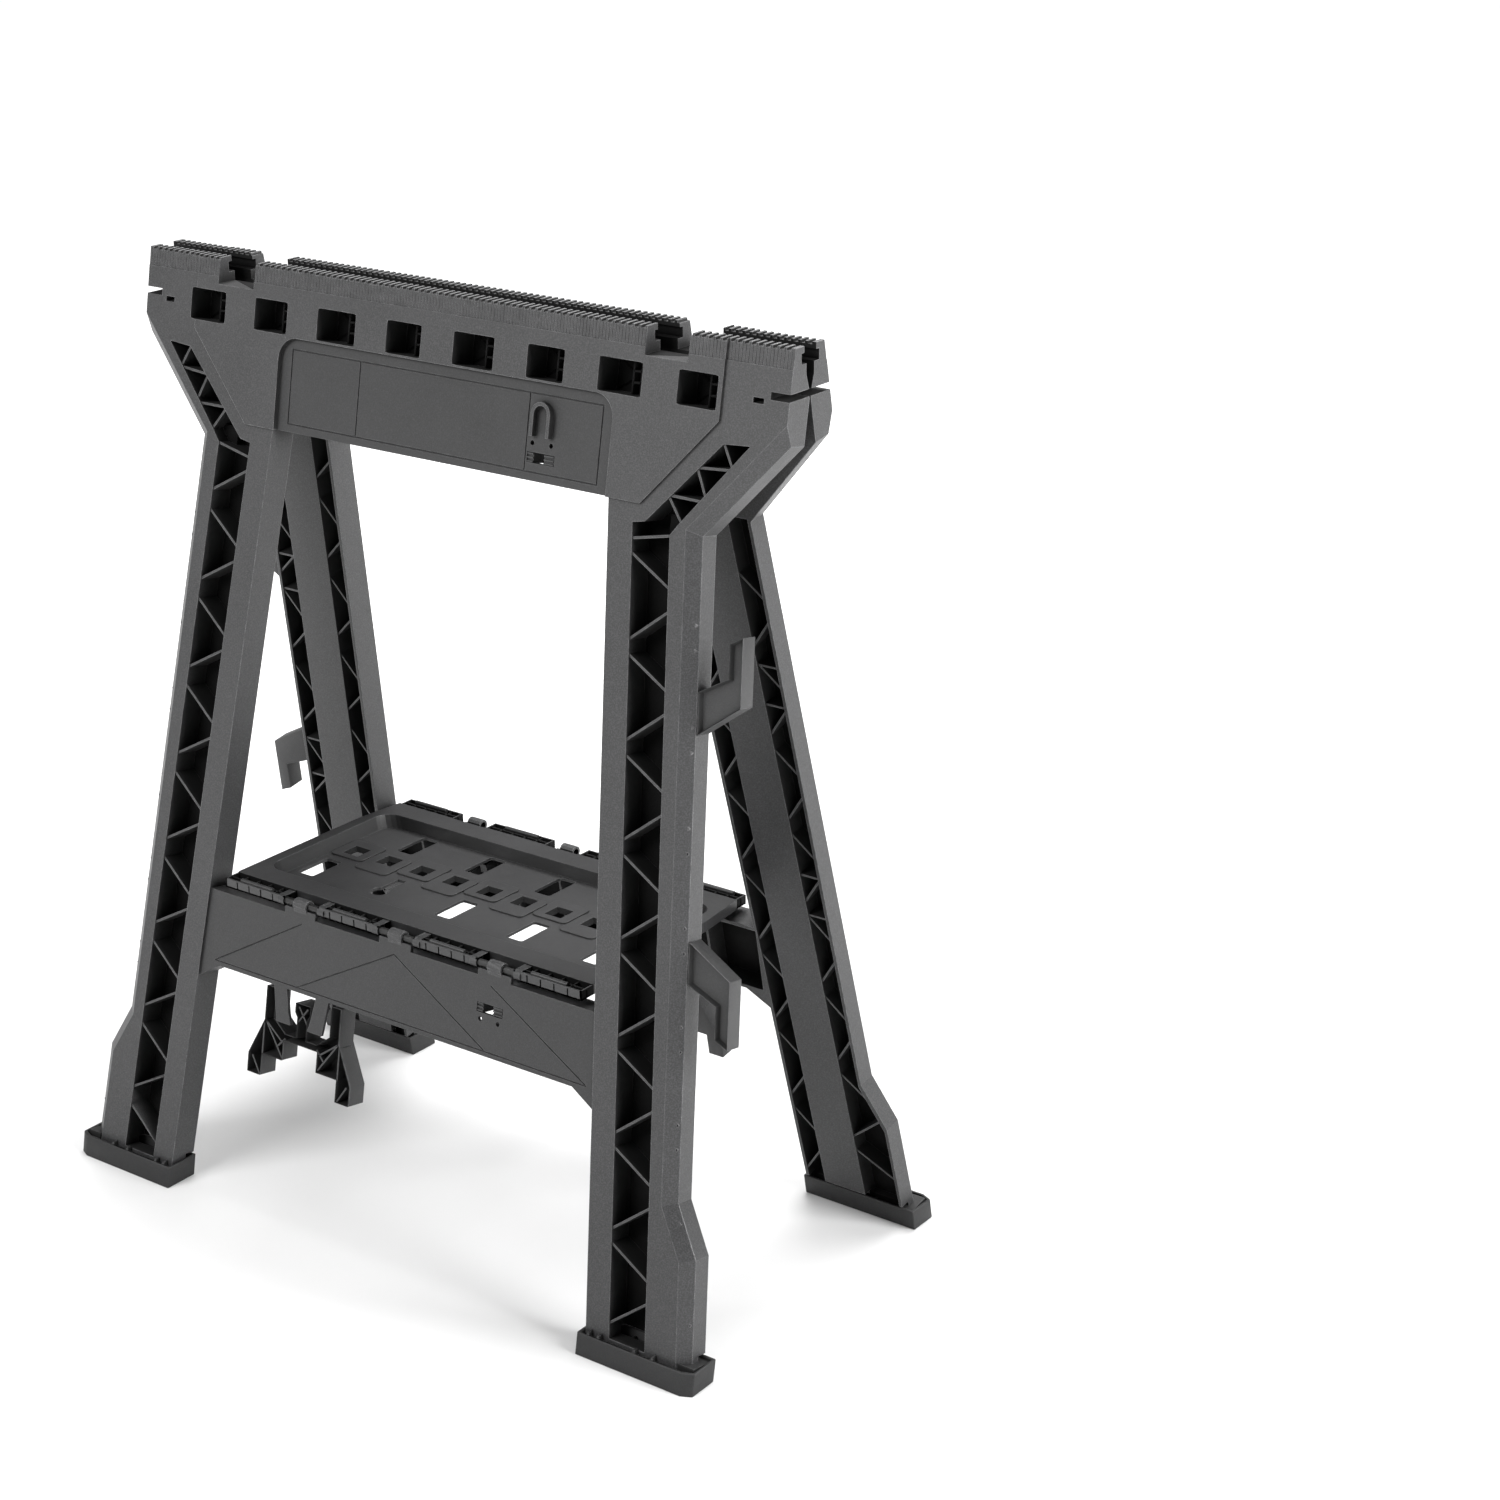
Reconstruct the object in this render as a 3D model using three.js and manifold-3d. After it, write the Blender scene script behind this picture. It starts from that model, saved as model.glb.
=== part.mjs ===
// Folding sawhorse. Two moulded halves hinge along the top of the beam and lean apart into an A.
// A shelf hinged on the front rail rests on the rear rail, and swings up as the legs close.
// Millimetres, +X along the beam, -Y towards the front, +Z up. The origin is on the floor under the middle.
import * as THREE from 'three';
import { mergeVertices } from 'three/addons/utils/BufferGeometryUtils.js';
import Module from 'manifold-3d';

const wasm = await Module();
wasm.setup();

// Overall sizes
const standHeight = 785;
const beamLength = 656;
const leanDegrees = 10.75;
const gap = 0.3;
const overshoot = 6;
const farOvershoot = 24;
const ribOverrun = 5;
const curveSegments = 4;

// One moulded half, measured inwards from the face of its legs
const halfDepth = 24.6;
const partingGap = 0.8;
const hingeDrop = 40;
const wall = 3;
const rib = 2;
const beamProud = 1.8;
const edgeBevel = 10.5;
const edgeBevelDepth = 8;

// Beam and jaws: drops are measured down from the top, insets from the ends of the beam
const beamDepth = 128.6;
const earDrop = 54;
const beamWindow = { count: 8, shift: -4.2, margin: 81.6, webs: [30.8, 35.8], top: 27, bottom: 52.3 };
const cornerRadius = 3;
const stockGap = { width: 40, depth: 21, leftInset: 83, rightInset: 92 };
const jawNotch = { depth: 17, top: 32.5, bottom: 38 };
const jawSlot = { inset: 22.5, length: 9.5, top: 38, bottom: 42 };
const jaw = {
  half: 7.5, lip: 5, ledge: 11, ledgeEnd: 13, throat: 4.8, throatEnd: 21.5, seat: 1.2, seatEnd: 33,
};
const ridge = { inset: 59, drop: 59.4, toe: 64.3 };
const panel = { inset: 156, drop: 54, recess: 4, radius: 18, lineInset: 12, lineDrop: 9, lineRise: 6.6 };
const dividerInsets = { left: 86, right: 83 };
const groove = { width: 1.1, depth: 0.7 };
const beamBays = 6;

// Legs: x is given as an inset from the end of the beam, at the beam and at the floor
const legInner = { top: 154, foot: 97.5 };
const legOuter = { top: 80, boot: 38.1, bootEnd: 16.4, foot: 7.6, rise: 12.4 };
const legChannel = { width: 35, top: 129.4, foot: 74.4, rise: 14.4, back: 3, ribRise: [12, 5] };
const ear = { topIn: 53.8, topOut: 30.3, drop: 75, footIn: 118, footOut: 87.3, slopes: [2, 4.6, 1.7, 4] };
const earRibs = [
  [[1, -1], [0.74, 1]],
  [[0.7, 1], [0.7, -1]],
  [[0.67, -1], [0.37, 1]],
  [[0.3, 1], [0.34, -1]],
  [[0.31, -1], [0.03, 1]],
];
const bootHeights = { top: 137.4, bottom: 98.4 };
const footRimHeight = 18.8;
const zigzag = { pitch: 75, offsets: [23, 43, 60.5, 85.6], ribDrop: 1 };

// Rail and shelf seat
const railTop = 268;
const railDepth = 63.6;
const railRecess = 2;
const railGusset = { reach: 22, drop: 13.2 };
const railLine = { share: 0.48, left: 16, right: 8, top: 6, bottom: 4 };
const railBays = 8;
const tab = { count: 3, margin: 0.526, width: 34, height: 5.5 };

// Latch window with two peg holes, in the panel and again in the rail; the hood above the upper one
const latch = { inset: 68, width: 27, height: 8 };
const pegHole = { spacing: 18.4, radius: 2, depth: 12, sides: 8 };
const panelLatch = { rise: 21.6, holeRise: 7 };
const railLatch = { drop: 21.4, holeDrop: 34.6 };
const hood = { width: 19, height: 27, lift: 5, rise: 34 };

// Feet
const foot = {
  floor: 3, wall: 2.4, proud: 6.4, side: 8.2, cornerX: 9.3, cornerY: 4.4, plug: 3,
  ribs: [0.07, 0.18, 0.58, 0.78],
};

// Top hinge: one pair of lugs at each station
const hinge = {
  pinRadius: 2.5, lugRadius: 8, lugWidth: 9, lugGap: 1, pocketGap: 0.75, endInset: 30, sides: 16,
};

// Shelf, placed from the rail and the legs
const shelf = {
  axisRise: 8, axisDrop: 5, axisDepth: 3.3, rimInset: 3.5, notchInset: 11, sideClearance: 14.8,
  foldClearance: 2.3, rim: 9, floor: 2.6, recess: 11.5, taperStart: 40, sideRim: 10, longRim: 30,
  cornerRadius: 15, knuckleRadius: 6.5, knuckleOverlap: 2, pinRadius: 3, pinGrip: 12, pinSides: 12,
  notch: 38, earRadius: 5.4, earWidth: 14,
};
const shelfSlots = {
  width: 17.5, margin: 55, frontCount: 5, rearCount: 4, firstInset: 20.5, rearInset: 57.5, frontInset: 26.5,
  rearGap: 4.5, middleGap: 23.5,
};
const shelfSockets = { size: 12, count: 9, firstInset: 24.5, margin: 62.6, y: 11 };

// Stock bracket stored on the skirt below the rail; its heights are drops from the rail's lower edge
const bracket = {
  inset: 74.5, play: 0.4, tongueDepth: 3, top: 0.8, clipTop: 10.4, tongueBottom: 29.9, shoulder: 33.4,
  cradle: 40.4, slotTop: 45.7, step: 63.4, kink: 65.7, bottom: 82.4, halfBottom: 58, halfTop: 42,
  halfStep: 43, halfSlot: 19.5, cradleHalf: 31.9, cradleFlare: 14,
  clipHalf: 8.4, clipNeck: 5.5, clipBarb: 8, clipShank: 12,
  tongueOut: 31.4, tongueTip: 25.7, tongueIn: [17.1, 12.5, 9.6], tongueKnee: 20.5,
};

// Cord hooks on the outer side of one leg of each half
const hook = {
  upperDrop: 145.4, lowerRise: 56.5, setBack: 0.4, base: 33, reach: 38.7, throat: 26.6, armOuter: 8,
  armInner: 29, tipInner: 55, tipOuter: 61,
};

// Values worked out from the sizes above
const lean = THREE.MathUtils.degToRad(leanDegrees);
const pivotHeight = standHeight - hingeDrop;
const faceOut = halfDepth + partingGap;
const halfBeam = beamLength / 2;
const beamBottom = standHeight - beamDepth;
const earHeight = standHeight - earDrop;
const panelHalf = halfBeam - panel.inset;
const latchX = panelHalf - latch.inset;
const bracketX = bracket.inset - panelHalf;
const railBottom = railTop - railDepth;
const windowPitch = (beamLength - beamWindow.margin) / beamWindow.count;
const diagonalFoot = beamBottom - legOuter.rise;
const channelTop = beamBottom - legChannel.rise;
const fittingBack = halfDepth - gap;
const stations = [-(halfBeam - hinge.endInset), -windowPitch, windowPitch, halfBeam - hinge.endInset];
const lugOffset = (hinge.lugWidth + hinge.lugGap) / 2;

// Height above the floor, on the face of the legs, as a distance up the leaning half from the hinge axis
const up = (height) => (height - pivotHeight - faceOut * Math.sin(lean)) / Math.cos(lean);
const point = (x, height) => new THREE.Vector2(x, up(height));
const between = (x1, z1, x2, z2) => (height) => x1 + ((x2 - x1) * (height - z1)) / (z2 - z1);

// How far in front of the middle the front half lies, at a height above the floor and a depth behind its face
function forward(height, depth) {
  return (faceOut - depth) / Math.cos(lean) + (pivotHeight - height) * Math.tan(lean);
}

const innerEdge = between(halfBeam - legInner.top, beamBottom, halfBeam - legInner.foot, footRimHeight);
const outerEdge = between(halfBeam - legOuter.top, diagonalFoot, halfBeam - legOuter.boot, bootHeights.top);
const bootEdge = between(halfBeam - legOuter.bootEnd, bootHeights.bottom, halfBeam - legOuter.foot, 0);
const channelEdge = between(halfBeam - legChannel.top, channelTop, halfBeam - legChannel.foot, footRimHeight);
const channelFar = (height) => channelEdge(height) + legChannel.width;

// The shelf lies between the legs, its axis a little above the front rail, and clears the legs when it is up
const shelfAxisZ = railTop + shelf.axisRise;
const shelfTop = shelfAxisZ + shelf.axisDrop;
const shelfAxisY = forward(shelfAxisZ, railRecess + shelf.axisDepth);
const shelfReach = shelfAxisY - shelf.rimInset;
const shelfHalf = innerEdge(shelfTop) - shelf.sideClearance;
const shelfRearHalf = innerEdge(shelfAxisZ + shelfAxisY * 2) - shelf.foldClearance;
const trayX = shelfHalf - shelf.sideRim;
const trayY = shelfReach - shelf.longRim;
const tabPitch = (shelfRearHalf * 2) / (tab.count + tab.margin);
const tabXs = Array.from({ length: tab.count }, (_, i) => (i - (tab.count - 1) / 2) * tabPitch);
const shelfPinLength = shelf.notch + shelf.pinGrip * 2;

function solid(geometry) {
  const bare = geometry.clone();
  bare.deleteAttribute('normal');
  bare.deleteAttribute('uv');
  const merged = mergeVertices(bare, 1e-4);
  return new wasm.Manifold(new wasm.Mesh({
    numProp: 3,
    vertProperties: new Float32Array(merged.attributes.position.array),
    triVerts: new Uint32Array(merged.index.array),
  }));
}

function toGeometry(manifold) {
  const out = manifold.getMesh();
  const geometry = new THREE.BufferGeometry();
  geometry.setAttribute('position', new THREE.BufferAttribute(out.vertProperties, 3));
  geometry.setIndex(new THREE.BufferAttribute(out.triVerts, 1));
  geometry.computeVertexNormals();
  return geometry;
}

// An outline on the face, pushed from one depth to another; depth 0 is the face of the legs
function slab(outline, from, to) {
  const shape = outline instanceof THREE.Shape ? outline : new THREE.Shape(outline);
  const depth = to - from;
  const geometry = new THREE.ExtrudeGeometry(shape, { depth, bevelEnabled: false, curveSegments });
  geometry.rotateX(Math.PI / 2);
  geometry.translate(0, to - faceOut, 0);
  return solid(geometry);
}

// A box given by its world corners, seen from inside the leaning half
function levelBox(low, high) {
  const geometry = new THREE.BoxGeometry(high[0] - low[0], high[1] - low[1], high[2] - low[2]);
  geometry.translate((low[0] + high[0]) / 2, (low[1] + high[1]) / 2, (low[2] + high[2]) / 2);
  return solid(settle(geometry));
}

function settle(geometry) {
  geometry.translate(0, 0, -pivotHeight);
  geometry.rotateX(lean);
  return geometry;
}

// A round bar along X, centred on x
function bar(radius, length, x, y, z, sides) {
  const geometry = new THREE.CylinderGeometry(radius, radius, length, sides);
  geometry.rotateZ(Math.PI / 2);
  geometry.translate(x, y, z);
  return geometry;
}

function join(parts) {
  return parts.reduce((all, next) => all.add(next));
}

function mirrored(points) {
  return points.map((p) => new THREE.Vector2(-p.x, p.y)).reverse();
}

function rectangle(x1, x2, z1, z2) {
  return [point(x1, z1), point(x2, z1), point(x2, z2), point(x1, z2)];
}

function roundedRectangle(x1, x2, z1, z2, radius) {
  const [a, b] = [up(z1), up(z2)];
  const shape = new THREE.Shape();
  shape.moveTo(x1 + radius, a);
  shape.lineTo(x2 - radius, a);
  shape.absarc(x2 - radius, a + radius, radius, -Math.PI / 2, 0);
  shape.lineTo(x2, b - radius);
  shape.absarc(x2 - radius, b - radius, radius, 0, Math.PI / 2);
  shape.lineTo(x1 + radius, b);
  shape.absarc(x1 + radius, b - radius, radius, Math.PI / 2, Math.PI);
  shape.lineTo(x1, a + radius);
  shape.absarc(x1 + radius, a + radius, radius, Math.PI, Math.PI * 1.5);
  return shape;
}

// A thin wall of the given width that runs from one face point to another and a little past each
function strut(a, b, width, from, to, past = ribOverrun) {
  const along = new THREE.Vector2().subVectors(b, a).normalize();
  const side = new THREE.Vector2(-along.y, along.x).multiplyScalar(width / 2);
  const start = a.clone().addScaledVector(along, -past);
  const end = b.clone().addScaledVector(along, past);
  const [left, right] = [side, side.clone().negate()];
  const outline = [[start, left], [start, right], [end, right], [end, left]];
  return slab(outline.map(([corner, offset]) => corner.clone().add(offset)), from, to);
}

// The zigzag of ribs between two edges of a leg
function zigzagRibs(leftEdge, rightEdge, top, bottom, from, to) {
  const ribs = [];
  const [a, b, c, d] = zigzag.offsets;
  for (let start = top; start - b > bottom; start -= zigzag.pitch) {
    const [high, low] = [start - a, start - b];
    ribs.push(strut(point(leftEdge(high), high), point(rightEdge(low), low), rib, from, to));
    if (start - d > bottom) {
      const [next, end] = [start - c, start - d];
      ribs.push(strut(point(rightEdge(next), next), point(leftEdge(end), end), rib, from, to));
    }
  }
  return join(ribs);
}

// Outer shape of a half: a bevelled outline, cut to its straight ends, its window and the arch below the rail
function blank() {
  const reach = halfBeam + farOvershoot;
  const below = -farOvershoot;
  const diagonalAt = between(earHeight, halfBeam, diagonalFoot, halfBeam - legOuter.top);
  const right = [
    point(reach, standHeight + farOvershoot),
    point(reach, diagonalAt(reach)),
    point(halfBeam - legOuter.top, diagonalFoot),
    point(outerEdge(bootHeights.top), bootHeights.top),
    point(bootEdge(bootHeights.bottom), bootHeights.bottom),
    point(bootEdge(below), below),
  ];
  const bevelled = new THREE.ExtrudeGeometry(new THREE.Shape([...right, ...mirrored(right)]), {
    depth: halfDepth,
    bevelThickness: edgeBevelDepth,
    bevelSize: edgeBevel,
    bevelSegments: 1,
  });
  bevelled.rotateX(Math.PI / 2);
  bevelled.translate(0, halfDepth + edgeBevelDepth - faceOut, 0);

  const kneeHeight = (beamBottom + railTop) / 2;
  const gussetFoot = railBottom - railGusset.drop;
  const trimRight = [
    point(halfBeam, standHeight + farOvershoot),
    point(halfBeam, kneeHeight),
    point(halfBeam * 2, kneeHeight),
    point(halfBeam * 2, below),
    point(innerEdge(below), below),
    point(innerEdge(gussetFoot), gussetFoot),
    point(innerEdge(railBottom) - railGusset.reach, railBottom),
  ];
  const trim = new THREE.Shape([...trimRight, ...mirrored(trimRight)]);
  const windowRight = [
    point(innerEdge(railTop), railTop),
    point(innerEdge(beamBottom), beamBottom),
  ];
  trim.holes.push(new THREE.Path([...windowRight, ...mirrored(windowRight)]));
  return solid(bevelled).intersect(slab(trim, 0, halfDepth));
}

// The face of the beam stands a little proud of the legs, down to a ridge that slopes in at both ends
function beamFace() {
  const right = [
    point(halfBeam - ridge.inset, standHeight + farOvershoot),
    point(halfBeam - ridge.inset, standHeight - ridge.drop),
    point(halfBeam - ridge.inset - ridge.toe, beamBottom),
  ];
  return slab([...right, ...mirrored(right)], -beamProud, wall);
}

const windowCentre = (i) => beamWindow.shift + (i - (beamWindow.count - 1) / 2) * windowPitch;
const windowHalf = (i) => (windowPitch - beamWindow.webs[i % beamWindow.webs.length]) / 2;

// Windows along the beam, each with crossed ribs behind it
function windowCuts() {
  const cuts = [];
  const [top, bottom] = [standHeight - beamWindow.top, standHeight - beamWindow.bottom];
  const back = halfDepth + overshoot;
  for (let i = 0; i < beamWindow.count; i += 1) {
    const [left, right] = [windowCentre(i) - windowHalf(i), windowCentre(i) + windowHalf(i)];
    const hole = slab(roundedRectangle(left, right, bottom, top, cornerRadius), -overshoot, back);
    const cross = join([
      strut(point(left, bottom), point(right, top), rib, halfDepth / 2, back),
      strut(point(right, bottom), point(left, top), rib, halfDepth / 2, back),
    ]);
    cuts.push(hole.subtract(cross));
  }
  return join(cuts);
}

// Hollows behind the beam panel, open towards the other half
function beamHollows() {
  const half = panelHalf - wall;
  const width = (2 * half) / beamBays;
  const top = standHeight - beamWindow.bottom - wall * 2;
  const bottom = beamBottom + wall;
  const hollows = [];
  for (let i = 0; i < beamBays; i += 1) {
    const left = -half + i * width + rib / 2;
    const right = left + width - rib;
    hollows.push(slab(rectangle(left, right, bottom, top), panel.recess + wall, halfDepth + overshoot));
  }
  return join(hollows);
}

// A fine line cut into a face that lies at the given depth
function moulding(a, b, face, past) {
  return strut(point(...a), point(...b), groove.width, 0, face + groove.depth, past);
}

// The sunk panel in the beam face, with its border line, dividing lines and latch window
function panelCuts() {
  const top = standHeight - panel.drop;
  const recess = panel.recess - beamProud;
  const below = beamBottom - panel.radius * 2;
  const sunk = slab(roundedRectangle(-panelHalf, panelHalf, below, top, panel.radius), -overshoot, recess);
  const lineBottom = beamBottom + panel.lineRise;
  const lineTop = top - panel.lineDrop;
  const line = panelHalf - panel.lineInset;
  const dividers = [dividerInsets.left - panelHalf, panelHalf - dividerInsets.right];
  const lines = [
    [[-line, lineBottom], [-line, lineTop]],
    [[-line, lineTop], [line, lineTop]],
    [[line, lineTop], [line, lineBottom]],
    [[line, lineBottom], [-line, lineBottom]],
    ...dividers.map((x) => [[x, lineBottom], [x, lineTop]]),
  ].map(([a, b]) => moulding(a, b, recess, groove.width / 2));
  const latchTop = beamBottom + panelLatch.rise;
  return join([sunk, ...lines, latchCuts(latchTop, latchTop + panelLatch.holeRise, recess)]);
}

// A latch window right through, and a peg hole beside each end of it
function latchCuts(top, holeHeight, face) {
  const outline = rectangle(latchX - latch.width / 2, latchX + latch.width / 2, top - latch.height, top);
  const holes = [-1, 1].map((side) => {
    const geometry = new THREE.CylinderGeometry(pegHole.radius, pegHole.radius, pegHole.depth, pegHole.sides);
    geometry.translate(latchX + (side * pegHole.spacing) / 2, face - faceOut, up(holeHeight));
    return solid(geometry);
  });
  return join([slab(outline, 0, halfDepth + overshoot), ...holes]);
}

// An arched hood on the panel, open below, that hangs the stand on a wall hook
function hangerHood() {
  const base = beamBottom + hood.rise;
  const recess = panel.recess - beamProud;
  const outer = archOutline(hood.width / 2, base, hood.height);
  const inner = archOutline(hood.width / 2 - wall, base - 1, hood.height - wall + 1);
  return slab(outer, recess - hood.lift, recess + wall).subtract(slab(inner, recess - hood.lift - 1, recess));
}

function archOutline(half, baseHeight, height) {
  const base = up(baseHeight);
  const shape = new THREE.Shape();
  shape.moveTo(latchX - half, base);
  shape.lineTo(latchX + half, base);
  shape.lineTo(latchX + half, base + height - half);
  shape.absarc(latchX, base + height - half, half, 0, Math.PI);
  return shape;
}

// Gaps in the jaws that hold boards on edge, and the notch and slot at each end
function jawCuts() {
  const across = halfDepth * 3;
  const left = stockGap.leftInset - halfBeam;
  const right = halfBeam - stockGap.rightInset;
  const cuts = [[left, left + stockGap.width], [right - stockGap.width, right]].map(([a, b]) => (
    levelBox([a, -across, standHeight - stockGap.depth], [b, across, standHeight + farOvershoot])
  ));
  const slotOut = halfBeam - jawSlot.inset;
  const spans = [
    [halfBeam - jawNotch.depth, halfBeam + overshoot, jawNotch],
    [slotOut - jawSlot.length, slotOut, jawSlot],
  ];
  [-1, 1].forEach((side) => spans.forEach(([a, b, { top, bottom }]) => {
    const [x1, x2] = side > 0 ? [a, b] : [-b, -a];
    cuts.push(levelBox([x1, -across, standHeight - bottom], [x2, across, standHeight - top]));
  }));
  return join(cuts);
}

// The space between the two jaws, as a stepped slot along the whole beam
function partingCut() {
  const beyond = -halfDepth * 2;
  const profile = [
    [jaw.half, 0], [jaw.half, jaw.lip], [jaw.ledge, jaw.lip], [jaw.ledge, jaw.ledgeEnd],
    [jaw.throat, jaw.ledgeEnd], [jaw.throat, jaw.throatEnd], [jaw.seat, jaw.seatEnd], [partingGap, hingeDrop],
    [partingGap, hingeDrop * 2], [beyond, hingeDrop * 2], [beyond, -farOvershoot], [jaw.half, -farOvershoot],
  ].map(([inward, drop]) => new THREE.Vector2(-inward, standHeight - drop));
  const depth = beamLength + farOvershoot;
  const geometry = new THREE.ExtrudeGeometry(new THREE.Shape(profile), { depth, bevelEnabled: false });
  geometry.rotateX(Math.PI / 2);
  geometry.rotateZ(Math.PI / 2);
  geometry.translate(-depth / 2, 0, 0);
  return solid(settle(geometry));
}

// The two long edges of the channel where it runs out along the ear
function earEdge(side) {
  const [footIn, footOut, topOut] = ear.slopes;
  const top = standHeight - ear.drop;
  return side > 0
    ? [[halfBeam - ear.footOut, channelTop + footOut], [halfBeam - ear.topOut, top + topOut]]
    : [[halfBeam - ear.footIn, channelTop + footIn], [halfBeam - ear.topIn, top]];
}

// The channel down each leg and out along the ear, with its zigzag ribs
function channelCut() {
  const [low, high] = [footRimHeight, channelTop];
  const kneeHeight = high - ear.slopes[ear.slopes.length - 1];
  const [outerFoot, outerTop] = earEdge(1);
  const [innerFoot, innerTop] = earEdge(-1);
  const outline = [
    point(channelEdge(low), low),
    point(channelFar(low), low),
    point(channelFar(kneeHeight), kneeHeight),
    point(...outerFoot),
    point(...outerTop),
    point(...innerTop),
    point(...innerFoot),
    point(channelEdge(high), high),
  ];
  const depths = [zigzag.ribDrop, halfDepth + 1];
  const [ribLeft, ribRight] = legChannel.ribRise.map((drop) => high - drop);
  const topRib = strut(point(channelEdge(high), ribLeft), point(channelFar(high), ribRight), rib, ...depths);
  const along = (share, side) => {
    const [[x1, z1], [x2, z2]] = earEdge(side);
    return point(x1 + (x2 - x1) * share, z1 + (z2 - z1) * share);
  };
  const earStruts = earRibs.map(([a, b]) => strut(along(...a), along(...b), rib, ...depths));
  const ribs = join([zigzagRibs(channelEdge, channelFar, high, low, ...depths), topRib, ...earStruts]);
  return slab(outline, -overshoot, halfDepth - legChannel.back).subtract(ribs);
}

// Hollows on the inner side of each leg, one on each side of the channel
function legHollows() {
  const [low, high] = [footRimHeight + wall, channelTop];
  const back = halfDepth + overshoot;
  const innerLeft = (h) => innerEdge(h) + wall;
  const innerRight = (h) => channelEdge(h) - wall;
  const outerLeft = (h) => channelFar(h) + wall;
  const outerRight = (h) => {
    const edge = h > bootHeights.top ? outerEdge : bootEdge;
    return edge(h) + edgeBevel - wall;
  };
  const innerOutline = [
    point(innerLeft(low), low),
    point(innerRight(low), low),
    point(innerRight(high), high),
    point(innerLeft(high), high),
  ];
  const outerOutline = [
    point(outerLeft(low), low),
    point(outerRight(low), low),
    point(outerRight(bootHeights.bottom), bootHeights.bottom),
    point(outerEdge(bootHeights.top) + edgeBevel - wall, bootHeights.top),
    point(outerEdge(high) + edgeBevel - wall, high),
    point(outerLeft(high), high),
  ];
  const depth = edgeBevelDepth + 1;
  return join([slab(innerOutline, wall, back), slab(outerOutline, depth, back)]);
}

// The rail face lies below the legs, with moulded lines, a latch window, and hollows behind
function railCuts() {
  const edge = innerEdge(railBottom);
  const low = railBottom - railGusset.reach;
  const high = railTop + farOvershoot;
  const legs = [-1, 1].map((side) => slab(orient([
    point(side * innerEdge(low), low),
    point(side * halfBeam * 2, low),
    point(side * halfBeam * 2, high),
    point(side * innerEdge(high), high),
  ]), -farOvershoot, railRecess + 1));
  const face = slab(rectangle(-edge - rib, edge + rib, low, railTop + overshoot), -overshoot, railRecess);
  const top = railTop - railLine.top;
  const bottom = railBottom + railLine.bottom;
  const third = edge * railLine.share;
  const lines = [
    [[-edge + railLine.left, bottom], [-third, top]],
    [[-third, bottom], [0, top]],
    [[0, top], [third, bottom]],
    [[third, top], [edge - railLine.right, bottom]],
    [[-edge + railLine.left, bottom], [edge - railLine.right, bottom]],
  ].map(([a, b]) => moulding(a, b, railRecess, 0));
  const span = edge - wall;
  const width = (2 * span) / railBays;
  const hollows = [];
  for (let i = 0; i < railBays; i += 1) {
    const left = -span + i * width + rib / 2;
    const outline = rectangle(left, left + width - rib, railBottom + wall, railTop - wall);
    hollows.push(slab(outline, railRecess + wall, halfDepth + overshoot));
  }
  const window = latchCuts(railTop - railLatch.drop, railTop - railLatch.holeDrop, railRecess);
  return join([face.subtract(join(legs)), ...lines, ...hollows, window]);
}

// Tongues below the rail that the stock bracket pushes on to
function tongues() {
  const { tongueOut, tongueTip, tongueIn, tongueKnee } = bracket;
  const tip = railBottom - bracket.tongueBottom;
  const shapes = [-1, 1].map((side) => [
    point(bracketX + side * tongueOut, railBottom + wall),
    point(bracketX + side * tongueIn[0], railBottom + wall),
    point(bracketX + side * tongueIn[1], railBottom - tongueKnee),
    point(bracketX + side * tongueIn[2], tip),
    point(bracketX + side * tongueTip, tip),
  ]);
  return join(shapes.map((outline) => slab(orient(outline), railRecess, railRecess + bracket.tongueDepth)));
}

function orient(outline) {
  return THREE.ShapeUtils.isClockWise(outline) ? [...outline].reverse() : outline;
}

// Low tabs along the top of the rail, each with a bearing ear for a shelf pin
function railTabs() {
  const half = tab.width / 2;
  const { earRadius, earWidth } = shelf;
  return join(tabXs.flatMap((x) => [
    slab(rectangle(x - half, x + half, railTop - wall, railTop + tab.height), railRecess, railRecess + wall),
    solid(settle(bar(earRadius, earWidth, x, -shelfAxisY, shelfAxisZ, shelf.pinSides))),
    levelBox(
      [x - earWidth / 2, 1 - shelfAxisY - earRadius, railTop - wall],
      [x + earWidth / 2, earRadius - shelfAxisY, shelfAxisZ],
    ),
  ]));
}

function shelfPinBores(radius) {
  const length = shelfPinLength + gap * 2;
  return join(tabXs.map((x) => (
    solid(settle(bar(radius, length, x, -shelfAxisY, shelfAxisZ, shelf.pinSides)))
  )));
}

// Lugs of this half around the hinge axis, and pockets for the lugs of the other half
function hingeBars(radius, width, offset) {
  return join(stations.map((x) => solid(bar(radius, width, x + offset, 0, 0, hinge.sides))));
}

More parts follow.
